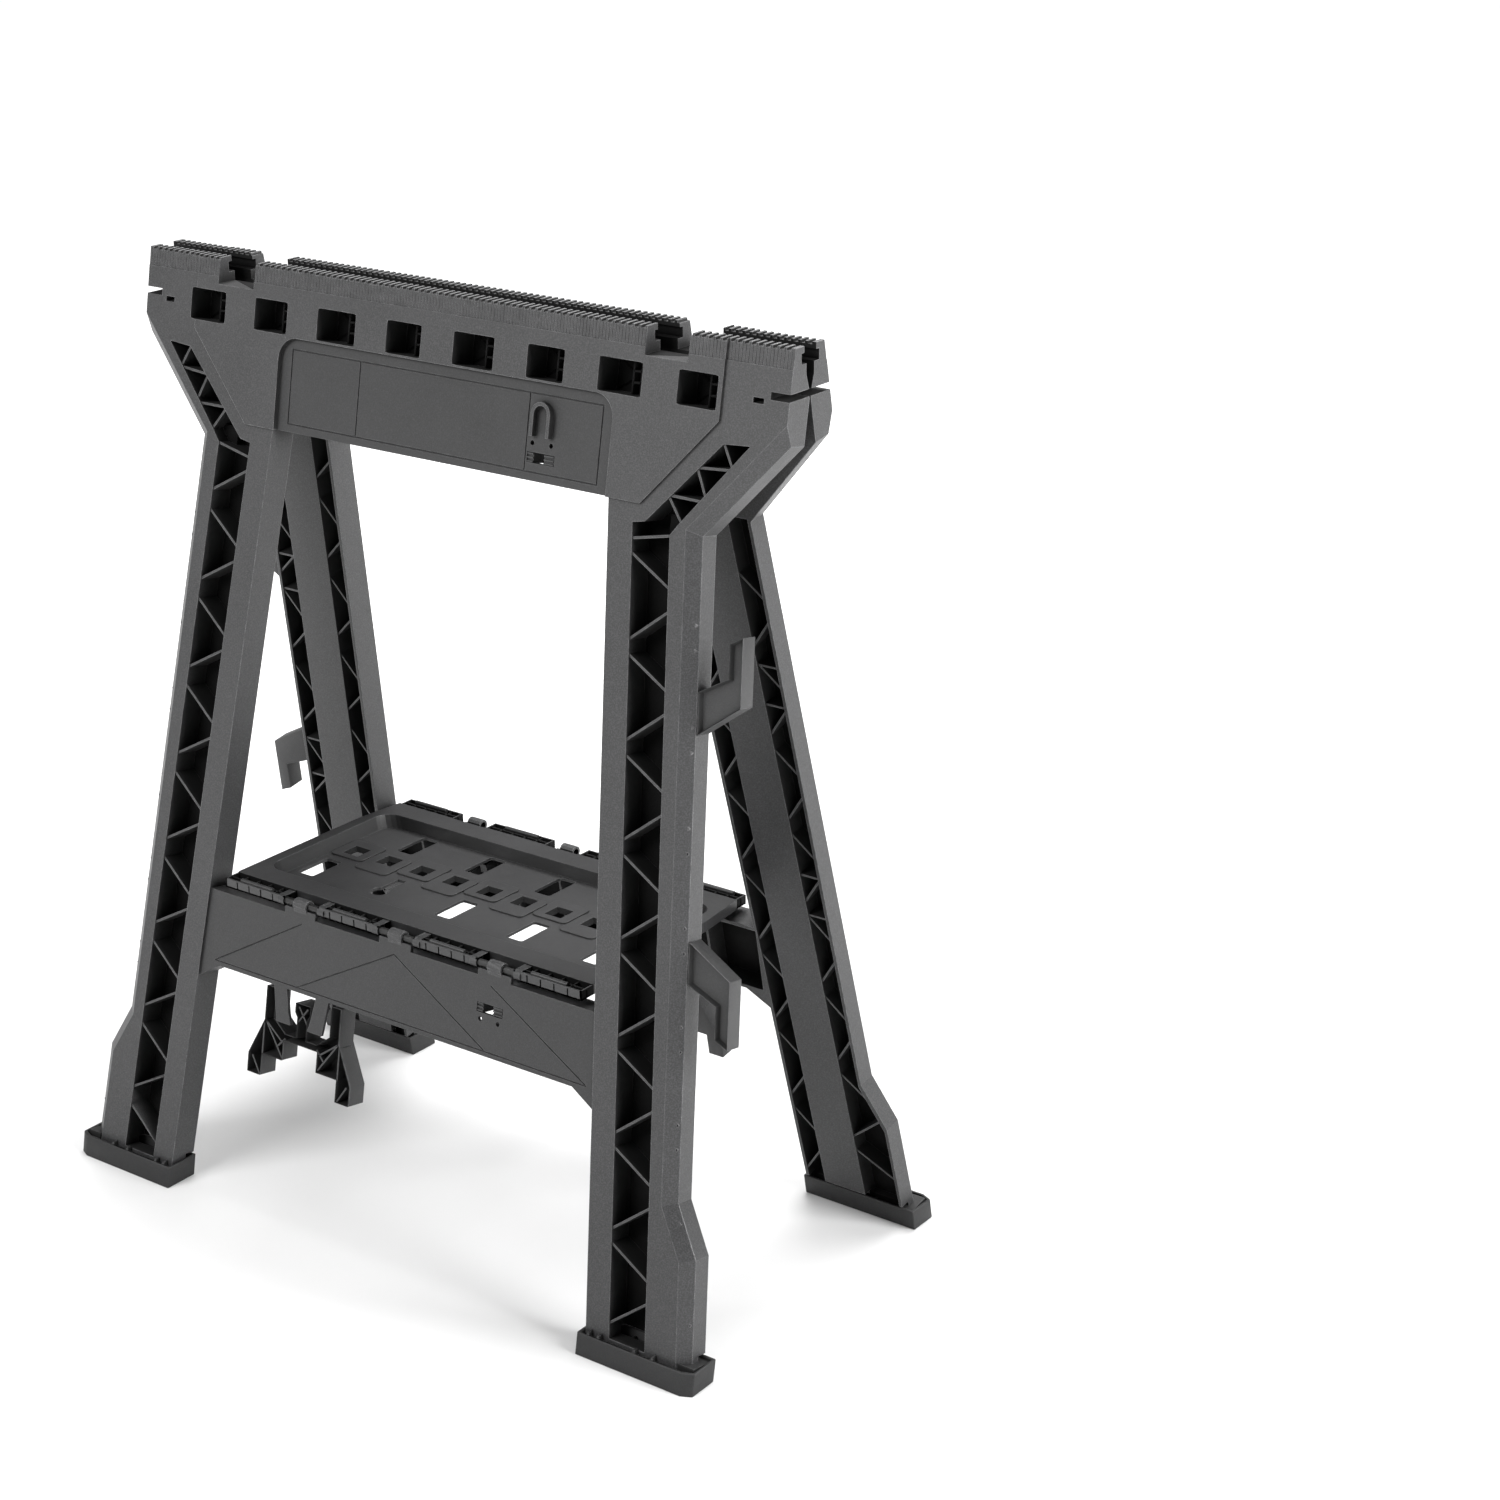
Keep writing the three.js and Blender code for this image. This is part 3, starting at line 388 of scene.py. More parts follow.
# near-black painted shade for the floors of hollows, the gap between the jaws and the shelf's
# recesses
hollowShadePlastic = mouldedPlastic("hollowShadePlastic", {
    "deep": grey(0.0035, 0.03), "pale": grey(0.005, 0.03), "dust": grey(0.012, 0.03),
    "edgeWearAndHighlight": grey(0.02, 0.02), "speck": 0.3, "wearAndHighlight": 0.3, "edgeRoundWidth": 0.8, "rough": 0.72,
    "bump": 0.2, "grainScale": 750.0, "specular": 0.2, "hollow": 30.0, "hiddenShade": grey(0.002)})
# tooth tops painted much lighter as a highlight
toothHighlightPlastic = mouldedPlastic("toothHighlightPlastic", {
    "deep": grey(0.09, 0.02), "pale": grey(0.13, 0.02), "dust": grey(0.2, 0.02),
    "edgeWearAndHighlight": grey(0.4, 0.02), "speck": 0.4, "wearAndHighlight": 0.8, "edgeRoundWidth": 0.8, "rough": 0.4,
    "bump": 0.2, "grainScale": 900.0, "specular": 0.6, "hollow": 6.0, "hiddenShade": grey(0.03)})
footPlastic = mouldedPlastic("footPlastic", {
    "deep": grey(0.009, 0.03), "pale": grey(0.013, 0.03), "dust": grey(0.035, 0.03),
    "edgeWearAndHighlight": grey(0.15, 0.02), "speck": 0.45, "wearAndHighlight": 0.5, "edgeRoundWidth": 1.2, "rough": 0.6,
    "bump": 0.35, "grainScale": 1400.0, "specular": 0.45, "hollow": 30.0,
    "hiddenShade": grey(0.004)})
shelfPlastic = mouldedPlastic("shelfPlastic", {
    "deep": grey(0.018, 0.03), "pale": grey(0.025, 0.03), "dust": grey(0.06, 0.03),
    "edgeWearAndHighlight": grey(0.12, 0.02), "speck": 0.25, "wearAndHighlight": 0.6, "edgeRoundWidth": 0.9, "rough": 0.38,
    "bump": 0.16, "grainScale": 1700.0, "specular": 0.5, "hollow": 34.0,
    "hiddenShade": grey(0.004)})
fittingPlastic = mouldedPlastic("fittingPlastic", {
    "deep": grey(0.017, 0.03), "pale": grey(0.023, 0.03), "dust": grey(0.06, 0.03),
    "edgeWearAndHighlight": grey(0.14, 0.02), "speck": 0.35, "wearAndHighlight": 0.75, "edgeRoundWidth": 0.9, "rough": 0.5,
    "bump": 0.25, "grainScale": 1600.0, "specular": 0.5, "hollow": 34.0,
    "hiddenShade": grey(0.004)})
print("finishes made")


# Steel of the hinge pins: drawn along X, a little tarnished
drawing = {"stretch": (30.0, 900.0, 900.0), "stainScale": 90.0, "bump": 0.2, "bumpDepth": 0.0002,
           "streakRough": 0.2}


def drawnSteel(name, look):
    finish = Finish(name)
    where = finish.objectPlace()
    stretch = finish.add("ShaderNodeMapping", {}, {"Vector": where, "Scale": drawing["stretch"]})
    streak = finish.noise(stretch, 1.0, 3.0)
    stain = finish.noise(where, drawing["stainScale"], 2.0)
    colour = finish.blend(stain, look["dark"], look["bright"])
    bump = finish.add("ShaderNodeBump", {}, {"Strength": drawing["bump"],
                                             "Distance": drawing["bumpDepth"], "Height": streak})
    finish.surface(Base_Color=colour, Normal=bump, Metallic=1.0,
                   Roughness=look["rough"] + (streak - 0.5) * drawing["streakRough"])
    return finish.material


pinSteel = drawnSteel("pinSteel", {"dark": grey(0.22), "bright": grey(0.42), "rough": 0.36})
darkSteel = drawnSteel("darkSteel", {"dark": grey(0.035), "bright": grey(0.08), "rough": 0.42})
for node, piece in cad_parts.items():
    if "_pin_" in node:
        piece.data.materials.clear()
        piece.data.materials.append(darkSteel if "shelf" in node else pinSteel)

# Jaws: a shallow strip along each face with fine upright grooves, and teeth across the top
jaws = {"toothPitch": 6.2, "toothGap": 3.9, "toothDrop": 2.0, "toothReach": (-32, -2),
        "groovePitch": 3.1, "grooveWidth": 0.7, "grooveDepth": 0.22, "stripDrop": 15.0,
        "stripDepth": 0.35, "stripStart": -8, "stripGap": 0.02, "proud": 1.8, "ridgeX": 269,
        "over": 4}


def alongBeam(pitch):
    # even places along the whole beam, centred on its middle
    count = int(stand["beamHalf"] * 2 / pitch)
    first = -(count - 1) / 2 * pitch
    return [first + i * pitch for i in range(count)]


def toothTools():
    top = stand["height"]
    half = jaws["toothGap"] / 2
    near, far = jaws["toothReach"]
    return [block("toothGap", (x - half, near, top - jaws["toothDrop"]),
                  (x + half, far, top + jaws["over"])) for x in alongBeam(jaws["toothPitch"])]


def grooveTools():
    tools = []
    top = stand["height"] + jaws["over"]
    low = stand["height"] - jaws["stripDrop"]
    half = jaws["grooveWidth"] / 2
    for x in alongBeam(jaws["groovePitch"]):
        face = -jaws["proud"] if abs(x) < jaws["ridgeX"] else 0.0
        floor = face + jaws["stripDepth"] + jaws["grooveDepth"]
        tools.append(leaningBlock("groove", x - half, x + half, face - jaws["over"], floor,
                                  low, top))
    return tools


def stripTools():
    # the middle of the jaw stands proud of its two ends
    top = stand["height"] + jaws["over"]
    low = stand["height"] - jaws["stripDrop"]
    depth = jaws["stripDepth"]
    start = jaws["stripStart"]
    ridge = jaws["ridgeX"]
    past = ridge + jaws["stripGap"]
    proud = -jaws["proud"]
    end = stand["beamHalf"] + jaws["over"]
    return [leaningBlock("strip", -ridge, ridge, proud - jaws["over"], proud + depth, low, top),
            leaningBlock("strip", past, end, start, depth, low, top),
            leaningBlock("strip", -end, -past, start, depth, low, top)]


# Ribs in the hollow backs of the legs, between lines that run down the right leg
innerEdge = between(174, 656.4, 230.5, 18.8)
outerEdge = between(248, 644, 289.9, 137.4)
bootEdge = between(311.6, 98.4, 320.4, 0)
channelEdge = between(198.6, 642, 253.6, 18.8)
backRibs = {"thick": 1.8, "depths": (6.0, 23.4), "pitch": 75.0, "offsets": (23.0, 43.0, 60.5, 85.6),
            "lap": 1.5, "inner": (642, 22), "outer": (618, 22), "channelWide": 36.5, "wall": 8.5,
            "hookLevels": (518, 484, 333, 296), "hookDepths": (9.5, 23.4)}
boot = {"top": 137.4, "bottom": 98.4, "rise": 39, "step": 21.7}


def channelSide(height):
    return channelEdge(height) + backRibs["channelWide"]


def outerWall(height):
    # the leg's outer wall, which steps out to the boot between two heights
    if height > boot["top"]:
        edge = outerEdge(height)
    elif height < boot["bottom"]:
        edge = bootEdge(height)
    else:
        edge = outerEdge(boot["top"]) + (boot["top"] - height) / boot["rise"] * boot["step"]
    return edge + backRibs["wall"]


def zigzag(name, leftEdge, rightEdge, top, bottom):
    ribs = []
    a, b, c, d = backRibs["offsets"]
    thick, depths = backRibs["thick"], backRibs["depths"]
    start = top
    while start - b > bottom:
        high, low = start - a, start - b
        ribs.append(leaningRib(name, (leftEdge(high), high), (rightEdge(low), low),
                               thick, *depths))
        if start - d > bottom:
            high, low = start - c, start - d
            ribs.append(leaningRib(name, (rightEdge(high), high), (leftEdge(low), low),
                                   thick, *depths))
        start -= backRibs["pitch"]
    return ribs


def legBackRibs():
    lap = backRibs["lap"]
    inner = zigzag("innerRib", lambda z: innerEdge(z) + lap, lambda z: channelEdge(z) - lap,
                   *backRibs["inner"])
    outer = zigzag("outerRib", channelSide, outerWall, *backRibs["outer"])
    level = [leaningRib("hookRib", (channelSide(z), z), (outerWall(z), z), backRibs["thick"],
                        *backRibs["hookDepths"]) for z in backRibs["hookLevels"]]
    right = inner + outer + level
    return right + [mirroredCopy(rib) for rib in right]


# Windows along the beam: cleared, closed at the back, and ribbed on their right half
windows = {"count": 8, "shift": -4.2, "pitch": 71.8, "webs": (30.8, 35.8),
           "heights": (732.9, 757.8), "start": -4, "clear": 22.6, "margin": 0.2,
           "back": (22.6, 24.3), "lap": 1, "ribThick": 1.4, "ribDepths": (8.0, 22.8),
           "uprights": (0.25, 0.62), "levels": (749.5, 741.0)}


def windowPlaces():
    places = []
    for i in range(windows["count"]):
        middle = windows["shift"] + (i - (windows["count"] - 1) / 2) * windows["pitch"]
        places.append((middle, (windows["pitch"] - windows["webs"][i % 2]) / 2))
    return places


def windowTools():
    low, high = windows["heights"]
    margin = windows["margin"]
    return [leaningBlock("windowClear", x - half + margin, x + half - margin, windows["start"],
                         windows["clear"], low + margin, high - margin)
            for x, half in windowPlaces()]


def windowBacks():
    low, high = windows["heights"]
    lap, thick = windows["lap"], windows["ribThick"]
    pieces = []
    for x, half in windowPlaces():
        pieces.append(leaningBlock("windowBack", x - half - lap, x + half + lap,
                                   *windows["back"], low - lap, high + lap))
        for share in windows["uprights"]:
            at = x + half * share
            pieces.append(leaningBlock("windowUpright", at - thick / 2, at + thick / 2,
                                       *windows["ribDepths"], low, high))
        for level in windows["levels"]:
            pieces.append(leaningBlock("windowLevel", x + half * windows["uprights"][0], x + half,
                                       *windows["ribDepths"], level, level + thick))
    return pieces


# A web closing the elbow of each leg behind its channel
elbow = {"reach": (225, 245), "depths": (12, 14), "heights": (635, 651)}


def elbowWebs():
    near, far = elbow["reach"]
    return [leaningBlock("elbowWeb", x1, x2, *elbow["depths"], *elbow["heights"])
            for x1, x2 in ((near, far), (-far, -near))]


# Spring clips standing in the latch windows, two ridged cheeks in each
clips = {"spans": ((89.7, 96.5), (107.0, 116.5)), "panel": (669.4, 678.2), "rail": (238.3, 246.9),
         "depths": (3.4, 20), "ridges": 3, "ridgeStart": 0.3, "ridgeProud": 0.9, "ridgeThick": 1.2}


def latchClips():
    pieces = []
    face, back = clips["depths"]
    for key in ("panel", "rail"):
        low, high = clips[key]
        for x1, x2 in clips["spans"]:
            pieces.append(leaningBlock("clip", x1, x2, face, back, low, high))
            for i in range(clips["ridges"]):
                level = low + (high - low) * (i + clips["ridgeStart"]) / clips["ridges"]
                pieces.append(leaningBlock("clipRidge", x1, x2, face - clips["ridgeProud"], face,
                                           level, level + clips["ridgeThick"]))
    return pieces


# A trench behind each leg, inside the rear wall of its foot cup
trench = {"depths": (15.5, 21.9), "through": 30, "heights": (-4, 24.5), "inner": 229.2,
          "outer": 331, "ribs": (0.34, 0.66), "ribThick": 1.8, "ribLap": 2, "ribHeights": (4.2, 18)}


def trenchTools():
    inner, outer = trench["inner"], trench["outer"]
    return [leaningBlock("trench", x1, x2, trench["depths"][0], trench["through"],
                         *trench["heights"])
            for x1, x2 in ((inner, outer), (-outer, -inner))]


def trenchRibs():
    pieces = []
    near, far = trench["depths"]
    half = trench["ribThick"] / 2
    for share in trench["ribs"]:
        x = trench["inner"] + (trench["outer"] - trench["inner"]) * share
        for side in (1, -1):
            low, high = sorted((side * (x - half), side * (x + half)))
            pieces.append(leaningBlock("trenchRib", low, high, near - trench["ribLap"], far,
                                       *trench["ribHeights"]))
    return pieces


frontHalf = cadCopy("front_frame", "frontHalf")
combine(frontHalf, joinPieces("windowClears", windowTools()))
combine(frontHalf, joinPieces("trenches", trenchTools()))
combine(frontHalf, joinPieces("strips", stripTools()))
combine(frontHalf, joinPieces("toothGaps", toothTools()))
combine(frontHalf, joinPieces("grooves", grooveTools()))
print("jaws cut", len(frontHalf.data.polygons))
addedPieces = legBackRibs() + windowBacks() + trenchRibs() + elbowWebs() + latchClips()
frontHalf = joinPieces("frontHalf", [frontHalf] + addedPieces)
rearHalf = turnedCopy(frontHalf, "rearHalf")
place(frontHalf, "front_half", ["front_frame"], framePlastic)
place(rearHalf, "rear_half", ["rear_frame"], framePlastic)

# Where the other finishes of a half begin, by depth, height and the way a face looks: sunk panels,
# painted shade in the hollows, and a painted highlight on the teeth
zones = {"toothTop": 0.4, "floorDepth": 6, "backDepth": 16, "gapHeight": 747, "gapDepth": 9,
         "panelDepths": (1.7, 2.6), "panelReach": 215}


def finishFor(face, outwards):
    depth = faceOut - (face.center.dot(outwards) - pivotReach) / mm
    facing = face.normal.dot(outwards)
    height = face.center.z / mm
    if height > stand["height"] - zones["toothTop"] and face.normal.z > 0.9:
        return 3  # painted highlight on the tops of the teeth
    onFloor = facing > 0.9 and depth > zones["floorDepth"]
    onBack = facing < -0.9 and depth < zones["backDepth"]
    inGap = height > zones["gapHeight"] and depth > zones["gapDepth"]
    if onFloor or onBack or (inGap and (facing < -0.2 or face.normal.z > 0.8)):
        return 2  # painted shade on the floors of the hollows, and in the gap between the jaws
    low, high = zones["panelDepths"]
    if facing > 0.99 and low < depth < high and abs(face.center.x) / mm < zones["panelReach"]:
        return 1  # sunk panels
    return 0


rearOutward = Matrix.Rotation(math.pi, 3, "Z") @ outward
for piece, outwards in ((frontHalf, outward), (rearHalf, rearOutward)):
    for material in (sunkPlastic, hollowShadePlastic, toothHighlightPlastic):
        piece.data.materials.append(material)
    for face in piece.data.polygons:
        face.material_index = finishFor(face, outwards)
print("halves made", len(frontHalf.data.polygons))

# Feet, the outer end of each cup filled up to the leg
cups = {"reach": (321, 335.6), "depths": (0.6, 22.6), "heights": (8, 20.4), "soften": 0.7}
for side, rearSide in (("right", "left"), ("left", "right")):
    foot = cleanUp(cadCopy("front_" + side + "_foot", "front" + side.title() + "Foot"))
    softenEdges(foot, cups["soften"])
    near, far = cups["reach"]
    x1, x2 = (near, far) if side == "right" else (-far, -near)
    filler = leaningBlock("cupFiller", x1, x2, *cups["depths"], *cups["heights"])
    foot = joinPieces(foot.name, [foot, filler])
    rearFoot = turnedCopy(foot, "rear" + rearSide.title() + "Foot")
    place(foot, "front_half", ["front_" + side + "_foot"], footPlastic)
    place(rearFoot, "rear_half", ["rear_" + rearSide + "_foot"], footPlastic)
print("feet made")


def openFace(piece, depth, rim, sink):
    # the face at this depth is opened: a rim is left round a sunk floor
    def onFace(centre, normal):
        reach = centre.dot(outward) - pivotReach / mm
        return normal.dot(outward) > 0.99 and abs(faceOut - reach - depth) < 0.3
    pickFaces(piece, onFace)
    bpy.ops.mesh.inset(thickness=rim * mm, depth=0, use_even_offset=True)
    bpy.ops.transform.translate(value=-outward * sink * mm)
    bpy.ops.object.mode_set(mode="OBJECT")
    return piece


# Cord hooks with a hollow arm
hooks = {"face": 8.4, "rim": 2.0, "sink": 5.0, "soften": 0.35}
for level in ("upper", "lower"):
    hook = cleanUp(cadCopy("front_" + level + "_cord_hook", "front" + level.title() + "Hook"))
    openFace(hook, hooks["face"], hooks["rim"], hooks["sink"])
    softenEdges(hook, hooks["soften"], clamp=True)
    rearHook = turnedCopy(hook, "rear" + level.title() + "Hook")
    frontNodes = ["front_" + level + "_cord_hook"]
    rearNodes = ["rear_" + level + "_cord_hook"]
    place(hook, "front_half", frontNodes, fittingPlastic)
    place(rearHook, "rear_half", rearNodes, fittingPlastic)
print("hooks made")

# Stock brackets: hollow shells with ribs fanning from each shoulder
brackets = {"face": 5.4, "rim": 1.7, "sink": 14.0, "middle": -97.5, "ribDepths": (6.6, 20.5),
            "ribThick": 1.5, "soften": 0.25,
            "fan": (((41, 170), (21, 156)), ((41, 170), (20.5, 143)), ((43, 168), (43, 140)),
                    ((54, 137), (44, 122)), ((26, 152), (18, 160)), ((5, 191), (-5, 178)))}
bracket = cleanUp(cadCopy("front_stock_bracket", "frontBracket"))
openFace(bracket, brackets["face"], brackets["rim"], brackets["sink"])
softenEdges(bracket, brackets["soften"], clamp=True)
bracketRibs = []
for side in (-1, 1):
    for (x1, z1), (x2, z2) in brackets["fan"]:
        start = (brackets["middle"] + side * x1, z1)
        end = (brackets["middle"] + side * x2, z2)
        bracketRibs.append(leaningRib("bracketRib", start, end, brackets["ribThick"],
                                      *brackets["ribDepths"]))
bracket = joinPieces("frontBracket", [bracket] + bracketRibs)
rearBracket = turnedCopy(bracket, "rearBracket")
place(bracket, "front_bracket", ["front_stock_bracket"], fittingPlastic)
place(rearBracket, "rear_bracket", ["rear_stock_bracket"], fittingPlastic)
print("brackets made")

# Tool shelf: a tray with slots and raised sockets, and ribbed lips along its two long edges
tray = {"half": (192.5, 98.4), "levels": (272, 281), "corner": 2.0, "through": (260, 290),
        "pan": (185.1, 78.6), "panRound": 17.6, "panLevels": (266.9, 276),
        "hollow": (182.5, 76), "hollowRound": 15, "hollowLevels": (269.4, 284),
        "hollowTaper": 0.972, "tabs": (-105.5, 0, 105.5), "tabRoom": 19, "notch": (107, 9.6)}
slots = {"wide": 17.5, "round": 2.6, "rows": (((-162, -7, 70.5, 148), (-49.5, -12.5)),
                                              ((-125, -47.5, 30, 107.5), (34.5, 71.5)))}
keyhole = {"x": -84.5, "y": -40, "radius": 8, "wide": 9, "far": -12, "middle": 275, "deep": 30}
plates = {"count": 9, "first": -158, "pitch": 37.8, "wide": 36.4, "odd": (-15, 22),
          "even": (-4, 31), "levels": (268, 270.7), "round": 5}
sockets = {"y": 11, "top": 18, "bottom": 9, "deep": 5.4, "middle": 268.5}
lip = {"out": 112.6, "lap": 1.4, "wall": 1.5, "top": 280.2, "floor": 273.4, "twin": 8.0,
       "ribPitch": 12.9, "ribThick": 1.3, "ribDrop": 0.8, "rearShort": 6.5}
bars = {"places": (-158.5, -53, 53, 158.5), "half": 18, "room": 6, "radius": 1.9, "sides": 16,
        "y": 109, "z": 280.4, "root": (107.6, 110.4), "rootLow": 273, "rootShort": 2}
knuckles = {"radius": 4.4, "reach": 7, "sides": 20, "y": 109.5, "z": 276, "root": (272, 280)}
drawIn = {"from": 48, "slope": 0.109, "middle": 275, "size": (20, 160, 40)}


def roundBlock(name, low, high, radius, taper=1.0):
    # a block with its upright edges rounded, and drawn in towards its bottom
    piece = block(name, low, high)
    pickEdges(piece, lambda a, b: abs(a.z - b.z) > 0.5)
    bpy.ops.mesh.bevel(offset=radius * mm, segments=5, profile=0.5)
    bpy.ops.object.mode_set(mode="OBJECT")
    if taper != 1.0:
        pickFaces(piece, lambda centre, normal: normal.z < -0.9)
        bpy.ops.transform.resize(value=(taper, taper, 1))
        bpy.ops.object.mode_set(mode="OBJECT")
    return piece


def funnel(x):
    # a square socket that narrows downwards
    clearSelection()
    root = math.sqrt(0.5)
    bpy.ops.mesh.primitive_cone_add(
        vertices=4, radius1=sockets["bottom"] * root * mm, radius2=sockets["top"] * root * mm,
        depth=sockets["deep"] * mm, rotation=(0, 0, math.pi / 4),
        location=(x * mm, sockets["y"] * mm, sockets["middle"] * mm))
    return settle("funnel")


def longEdge(side):
    # the lip on one long edge: a thin outer wall, cross ribs, a floor, and a bar between tabs
    inner, outer = tray["half"][1] - lip["lap"], lip["out"]
    half = tray["half"][0] - (lip["rearShort"] if side > 0 else 0)
    bottom = tray["levels"][0]
    wall, room = lip["wall"], tray["tabRoom"]
    ribTop = lip["top"] - lip["ribDrop"]
    pieces = []

    def edgeBlock(name, x1, x2, y1, y2, z1, z2):
        low, high = sorted((side * y1, side * y2))
        pieces.append(block(name, (x1, low, z1), (x2, high, z2)))

    ends = [-half] + [x for tab in tray["tabs"] for x in (tab - room, tab + room)] + [half]
    for x1, x2 in zip(ends[0::2], ends[1::2]):
        edgeBlock("lipWall", x1, x2, outer - wall, outer, bottom, lip["top"])
        edgeBlock("lipFloor", x1, x2, inner, outer, bottom, lip["floor"])
        edgeBlock("lipEnd", x1, x1 + wall, inner, outer, bottom, lip["top"])
        edgeBlock("lipEnd", x2 - wall, x2, inner, outer, bottom, lip["top"])
        steps = max(2, round((x2 - x1) / lip["ribPitch"]))
        for i in range(1, steps):
            x = x1 + (x2 - x1) * i / steps
            edgeBlock("lipRib", x - lip["ribThick"] / 2, x + lip["ribThick"] / 2, inner, outer,
                      bottom, ribTop)
        twin = inner + lip["twin"]
        edgeBlock("lipTwin", x1, x2, twin, twin + wall, bottom, ribTop)
    for x in bars["places"]:
        limit = half - bars["half"] - bars["room"]
        x = max(-limit, min(limit, x))
        pieces.append(rod("bar", bars["radius"], x - bars["half"], x + bars["half"],
                          side * bars["y"], bars["z"], bars["sides"]))
        reach = bars["half"] - bars["rootShort"]
        edgeBlock("barRoot", x - reach, x + reach, *bars["root"], bars["rootLow"], bars["z"])
    if side < 0:
        y, reach = knuckles["y"], knuckles["reach"]
        for tab in tray["tabs"]:
            for x1, x2 in ((tab - room - reach, tab - room), (tab + room, tab + room + reach)):
                pieces.append(rod("knuckle", knuckles["radius"], x1, x2, side * y,
                                  knuckles["z"], knuckles["sides"]))
                edgeBlock("knuckleRoot", x1, x2, inner, y, *knuckles["root"])
    return pieces


def cornerTool(side):
    # the rear corners draw in, to pass between the legs when the stand folds
    clearSelection()
    turn = math.atan(drawIn["slope"])
    half = drawIn["size"][0] / 2
    middle = (side * (tray["half"][0] + half * math.cos(turn)) * mm,
              (drawIn["from"] + half * math.sin(turn)) * mm, drawIn["middle"] * mm)
    bpy.ops.mesh.primitive_cube_add(size=1, location=middle, rotation=(0, 0, side * turn),
                                    scale=[size * mm for size in drawIn["size"]])
    return settle("cornerTool")


def trayShell():
    x, y = tray["half"]
    low, high = tray["levels"]
    shell = roundBlock("toolShelf", (-x, -y, low), (x, y, high), tray["corner"])
    x, y = tray["pan"]
    low, high = tray["panLevels"]
    combine(shell, roundBlock("pan", (-x, -y, low), (x, y, high), tray["panRound"]), "UNION")
    x, y = tray["hollow"]
    low, high = tray["hollowLevels"]
    combine(shell, roundBlock("hollow", (-x, -y, low), (x, y, high), tray["hollowRound"],
                              tray["hollowTaper"]))
    return shell


def makeTray():
    shell = trayShell()
    places = [plates["first"] + i * plates["pitch"] for i in range(plates["count"])]
    low, high = plates["levels"]
    half = plates["wide"] / 2
    for i, x in enumerate(places):
        y1, y2 = plates["odd"] if i % 2 else plates["even"]
        plate = roundBlock("plate", (x - half, y1, low), (x + half, y2, high), plates["round"])
        combine(shell, plate, "UNION")
    low, high = tray["through"]
    half = slots["wide"] / 2
    tools = [funnel(x) for x in places]
    for row, (y1, y2) in slots["rows"]:
        for x in row:
            tools.append(roundBlock("slot", (x - half, y1, low), (x + half, y2, high),
                                    slots["round"]))
    combine(shell, joinPieces("slots", tools))
    x, y, half = keyhole["x"], keyhole["y"], keyhole["wide"] / 2
    clearSelection()
    bpy.ops.mesh.primitive_cylinder_add(
        vertices=24, radius=keyhole["radius"] * mm, depth=keyhole["deep"] * mm,
        location=(x * mm, y * mm, keyhole["middle"] * mm))
    combine(shell, settle("keyhole"))
    combine(shell, block("keyslot", (x - half, y, low), (x + half, keyhole["far"], high)))
    middle, reach = tray["notch"]
    room = tray["tabRoom"]
    notches = [block("notch", (tab - room, side * middle - reach, low),
                     (tab + room, side * middle + reach, high))
               for tab in tray["tabs"] for side in (-1, 1)]
    combine(shell, joinPieces("notches", notches))
    for side in (-1, 1):
        combine(shell, cornerTool(side))
    return shell


shelf = joinPieces("toolShelf", [makeTray()] + longEdge(-1) + longEdge(1))
place(shelf, "shelf_body", ["shelf"], shelfPlastic)
shelf.data.materials.append(hollowShadePlastic)

# Painted shade on the shelf: the inside of its lips and the slopes of its sockets take the
# near-black shade plastic
shade = {"lipReach": (97.6, 112), "lipTop": 279.6, "socketReach": 9.5, "socketTop": 270.6}


def isShelfShade(face):
    x, y, z = face.center / mm
    near, far = shade["lipReach"]
    slope = face.normal.z
    inLip = near < abs(y) < far and z < shade["lipTop"] and (slope > 0.5 or abs(slope) < 0.3)
    inSocket = abs(y - sockets["y"]) < shade["socketReach"] and z < shade["socketTop"]
    return inLip or (inSocket and 0.2 < slope < 0.95)


for face in shelf.data.polygons:
    face.material_index = 1 if isShelfShade(face) else 0
print("shelf made", len(shelf.data.polygons))

# Studio: pale floor, broad soft lights, and the camera
studio = {"floorSize": 240, "paper": 0.74, "paperRough": (0.85, 0.95), "paperSpecular": 0.1,
          "glowFrom": 0.5, "glowTo": 2.2, "glowNear": 0.02, "glowFar": 0.85,
          "sky": 0.2, "backdrop": 1.0}
clearSelection()
bpy.ops.mesh.primitive_plane_add(size=studio["floorSize"])
floor = bpy.context.view_layer.objects.active
floor.name = "studioFloor"
paper = Finish("studioPaper")
paperPlace = paper.objectPlace()
paperTone = paper.noise(paperPlace, 0.8, 2.0)
paperReach = paper.add("ShaderNodeVectorMath", {"operation": "LENGTH"}, {0: paperPlace}, 1)
paperGlow = paper.spread(paperReach, studio["glowFrom"], studio["glowTo"],
                         studio["glowNear"], studio["glowFar"])
paperLight = paper.add("ShaderNodeCombineColor", {},
                       {"Red": paperGlow, "Green": paperGlow, "Blue": paperGlow})
paper.surface(Base_Color=grey(studio["paper"]), Specular_IOR_Level=studio["paperSpecular"],
              Roughness=paper.spread(paperTone, 0.3, 0.7, *studio["paperRough"]),
              Emission_Color=paperLight, Emission_Strength=1.0)
floor.data.materials.append(paper.material)

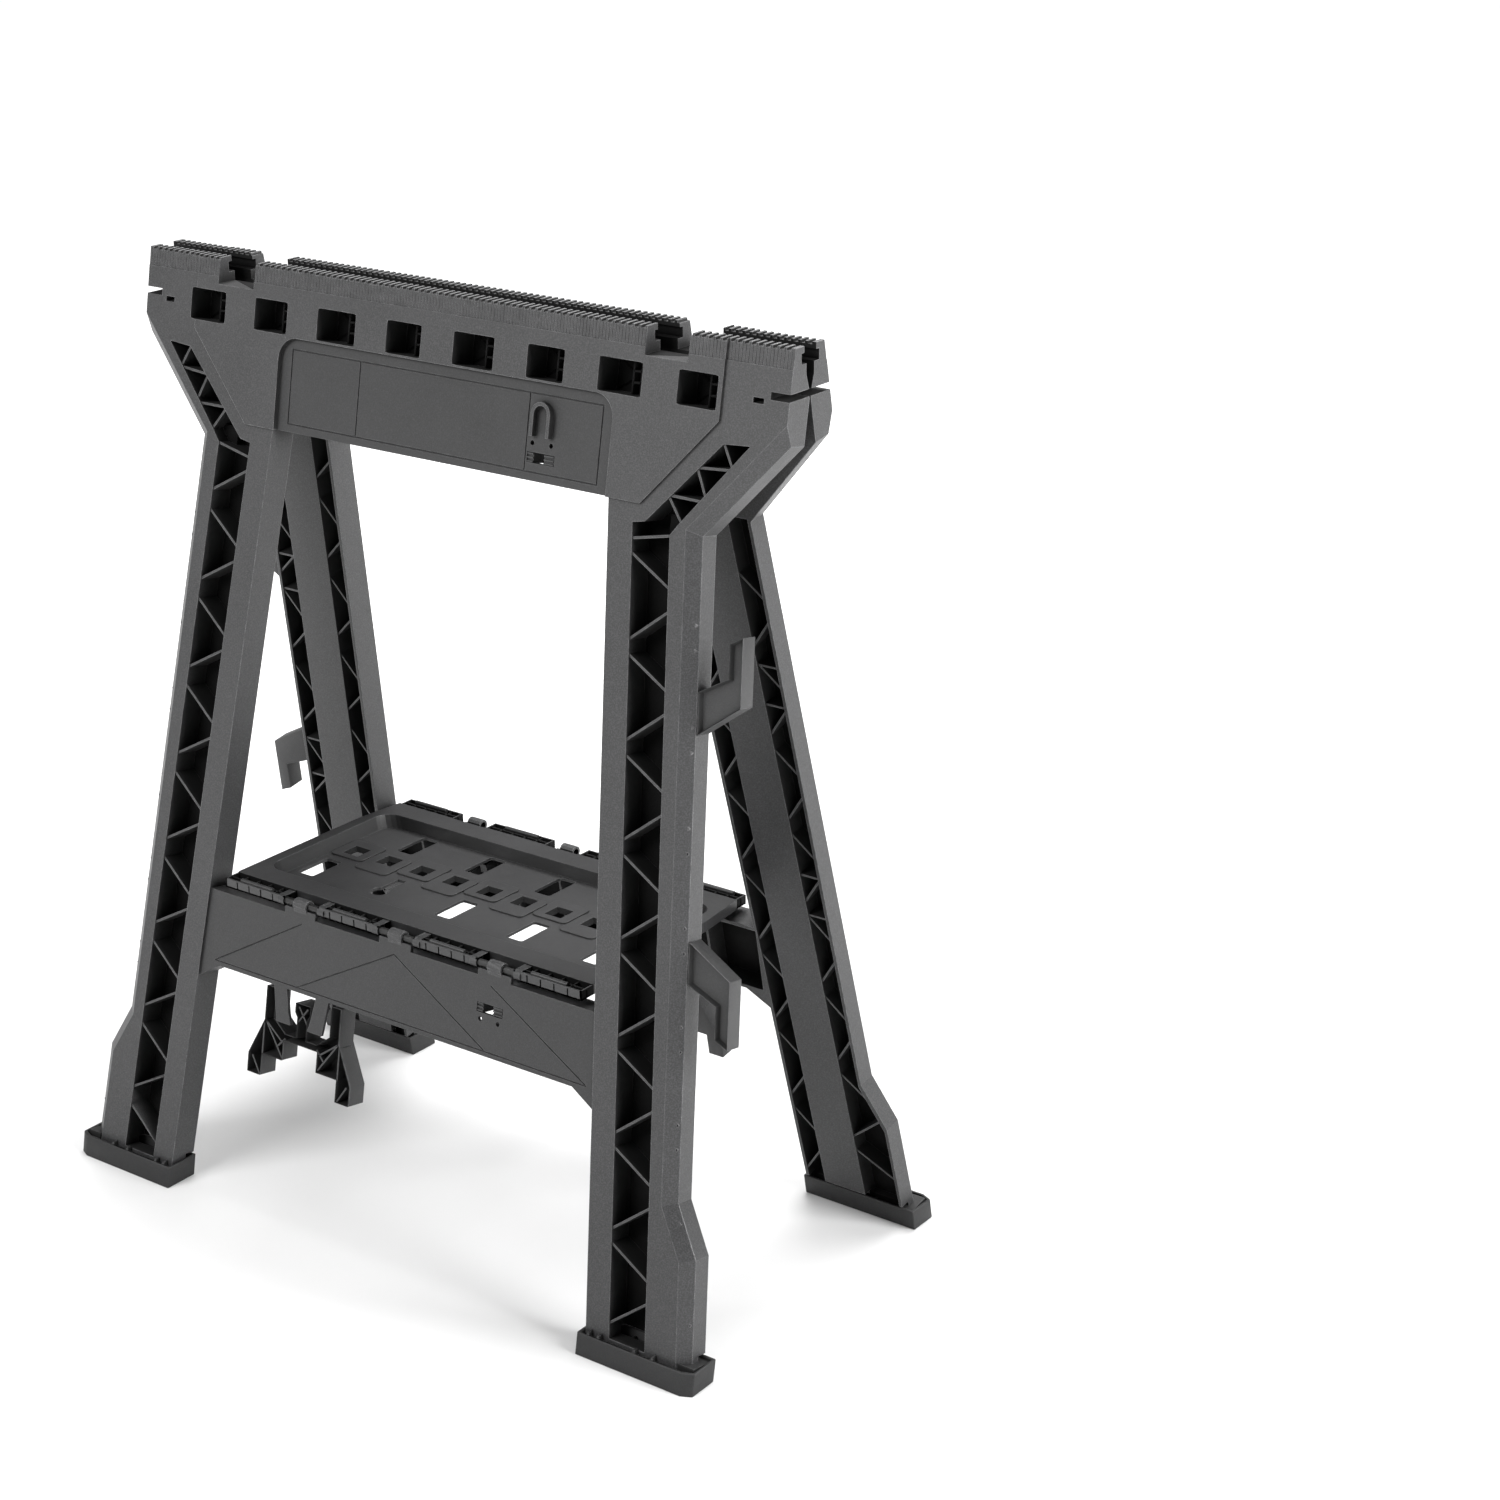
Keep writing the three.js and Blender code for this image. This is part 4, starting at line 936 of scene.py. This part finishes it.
# The sky lights the stand softly, and the camera sees a plain white backdrop in its place
world = bpy.data.worlds.new("studioSky")
world.use_nodes = True
sky = Nodes(world.node_tree)
air = sky.tree.nodes["Background"]
sky.connect(air.inputs["Color"], grey(1))
sky.connect(air.inputs["Strength"], studio["sky"])
backdrop = sky.add("ShaderNodeBackground", {}, {"Color": grey(1), "Strength": studio["backdrop"]})
seen = sky.add("ShaderNodeLightPath")
mixed = sky.add("ShaderNodeMixShader", {}, {0: seen, 1: Reading(sky, air.outputs[0]), 2: backdrop})
sky.connect(sky.tree.nodes["World Output"].inputs["Surface"], mixed)
bpy.context.scene.world = world

# Each softbox: where it stands, its width and height in metres, and its power in watts
lamps = {"keyLight": {"stands": (-1.2, -3.2, 2.6), "size": (2.2, 1.6), "power": 140},
         "fillLight": {"stands": (3.0, 0.4, 1.8), "size": (1.6, 1.8), "power": 150},
         "topLight": {"stands": (-0.2, 1.2, 3.2), "size": (2.4, 2.0), "power": 140}}
lampAim = (0, 0, 0.4)
for name, setting in lamps.items():
    clearSelection()
    bpy.ops.object.light_add(type="AREA", location=setting["stands"])
    lamp = bpy.context.view_layer.objects.active
    lamp.name = name
    lamp.data.shape = "RECTANGLE"
    lamp.data.size, lamp.data.size_y = setting["size"]
    lamp.data.energy = setting["power"]
    reach = Vector(lampAim) - Vector(setting["stands"])
    lamp.rotation_euler = reach.to_track_quat("-Z", "Y").to_euler()

view = {"place": (1.5203, -1.7134, 1.2641), "turn": 35.81, "dip": 20.78, "roll": -0.17,
        "lens": 71.17, "sensor": 36, "shift": (-0.0079, 0.0021), "clipEnd": 100}
clearSelection()
tilt = (math.radians(90 - view["dip"]), 0, math.radians(view["turn"]))
bpy.ops.object.camera_add(location=view["place"], rotation=tilt)
camera = bpy.context.view_layer.objects.active
camera.name = "camera"
rolled = camera.rotation_euler.to_matrix() @ Matrix.Rotation(math.radians(view["roll"]), 3, "Z")
camera.rotation_euler = rolled.to_euler()
camera.data.lens = view["lens"]
camera.data.sensor_width = view["sensor"]
camera.data.shift_x, camera.data.shift_y = view["shift"]
camera.data.clip_end = view["clipEnd"]
bpy.context.scene.camera = camera
bpy.context.scene.view_settings.view_transform = "Standard"
print("studio set")
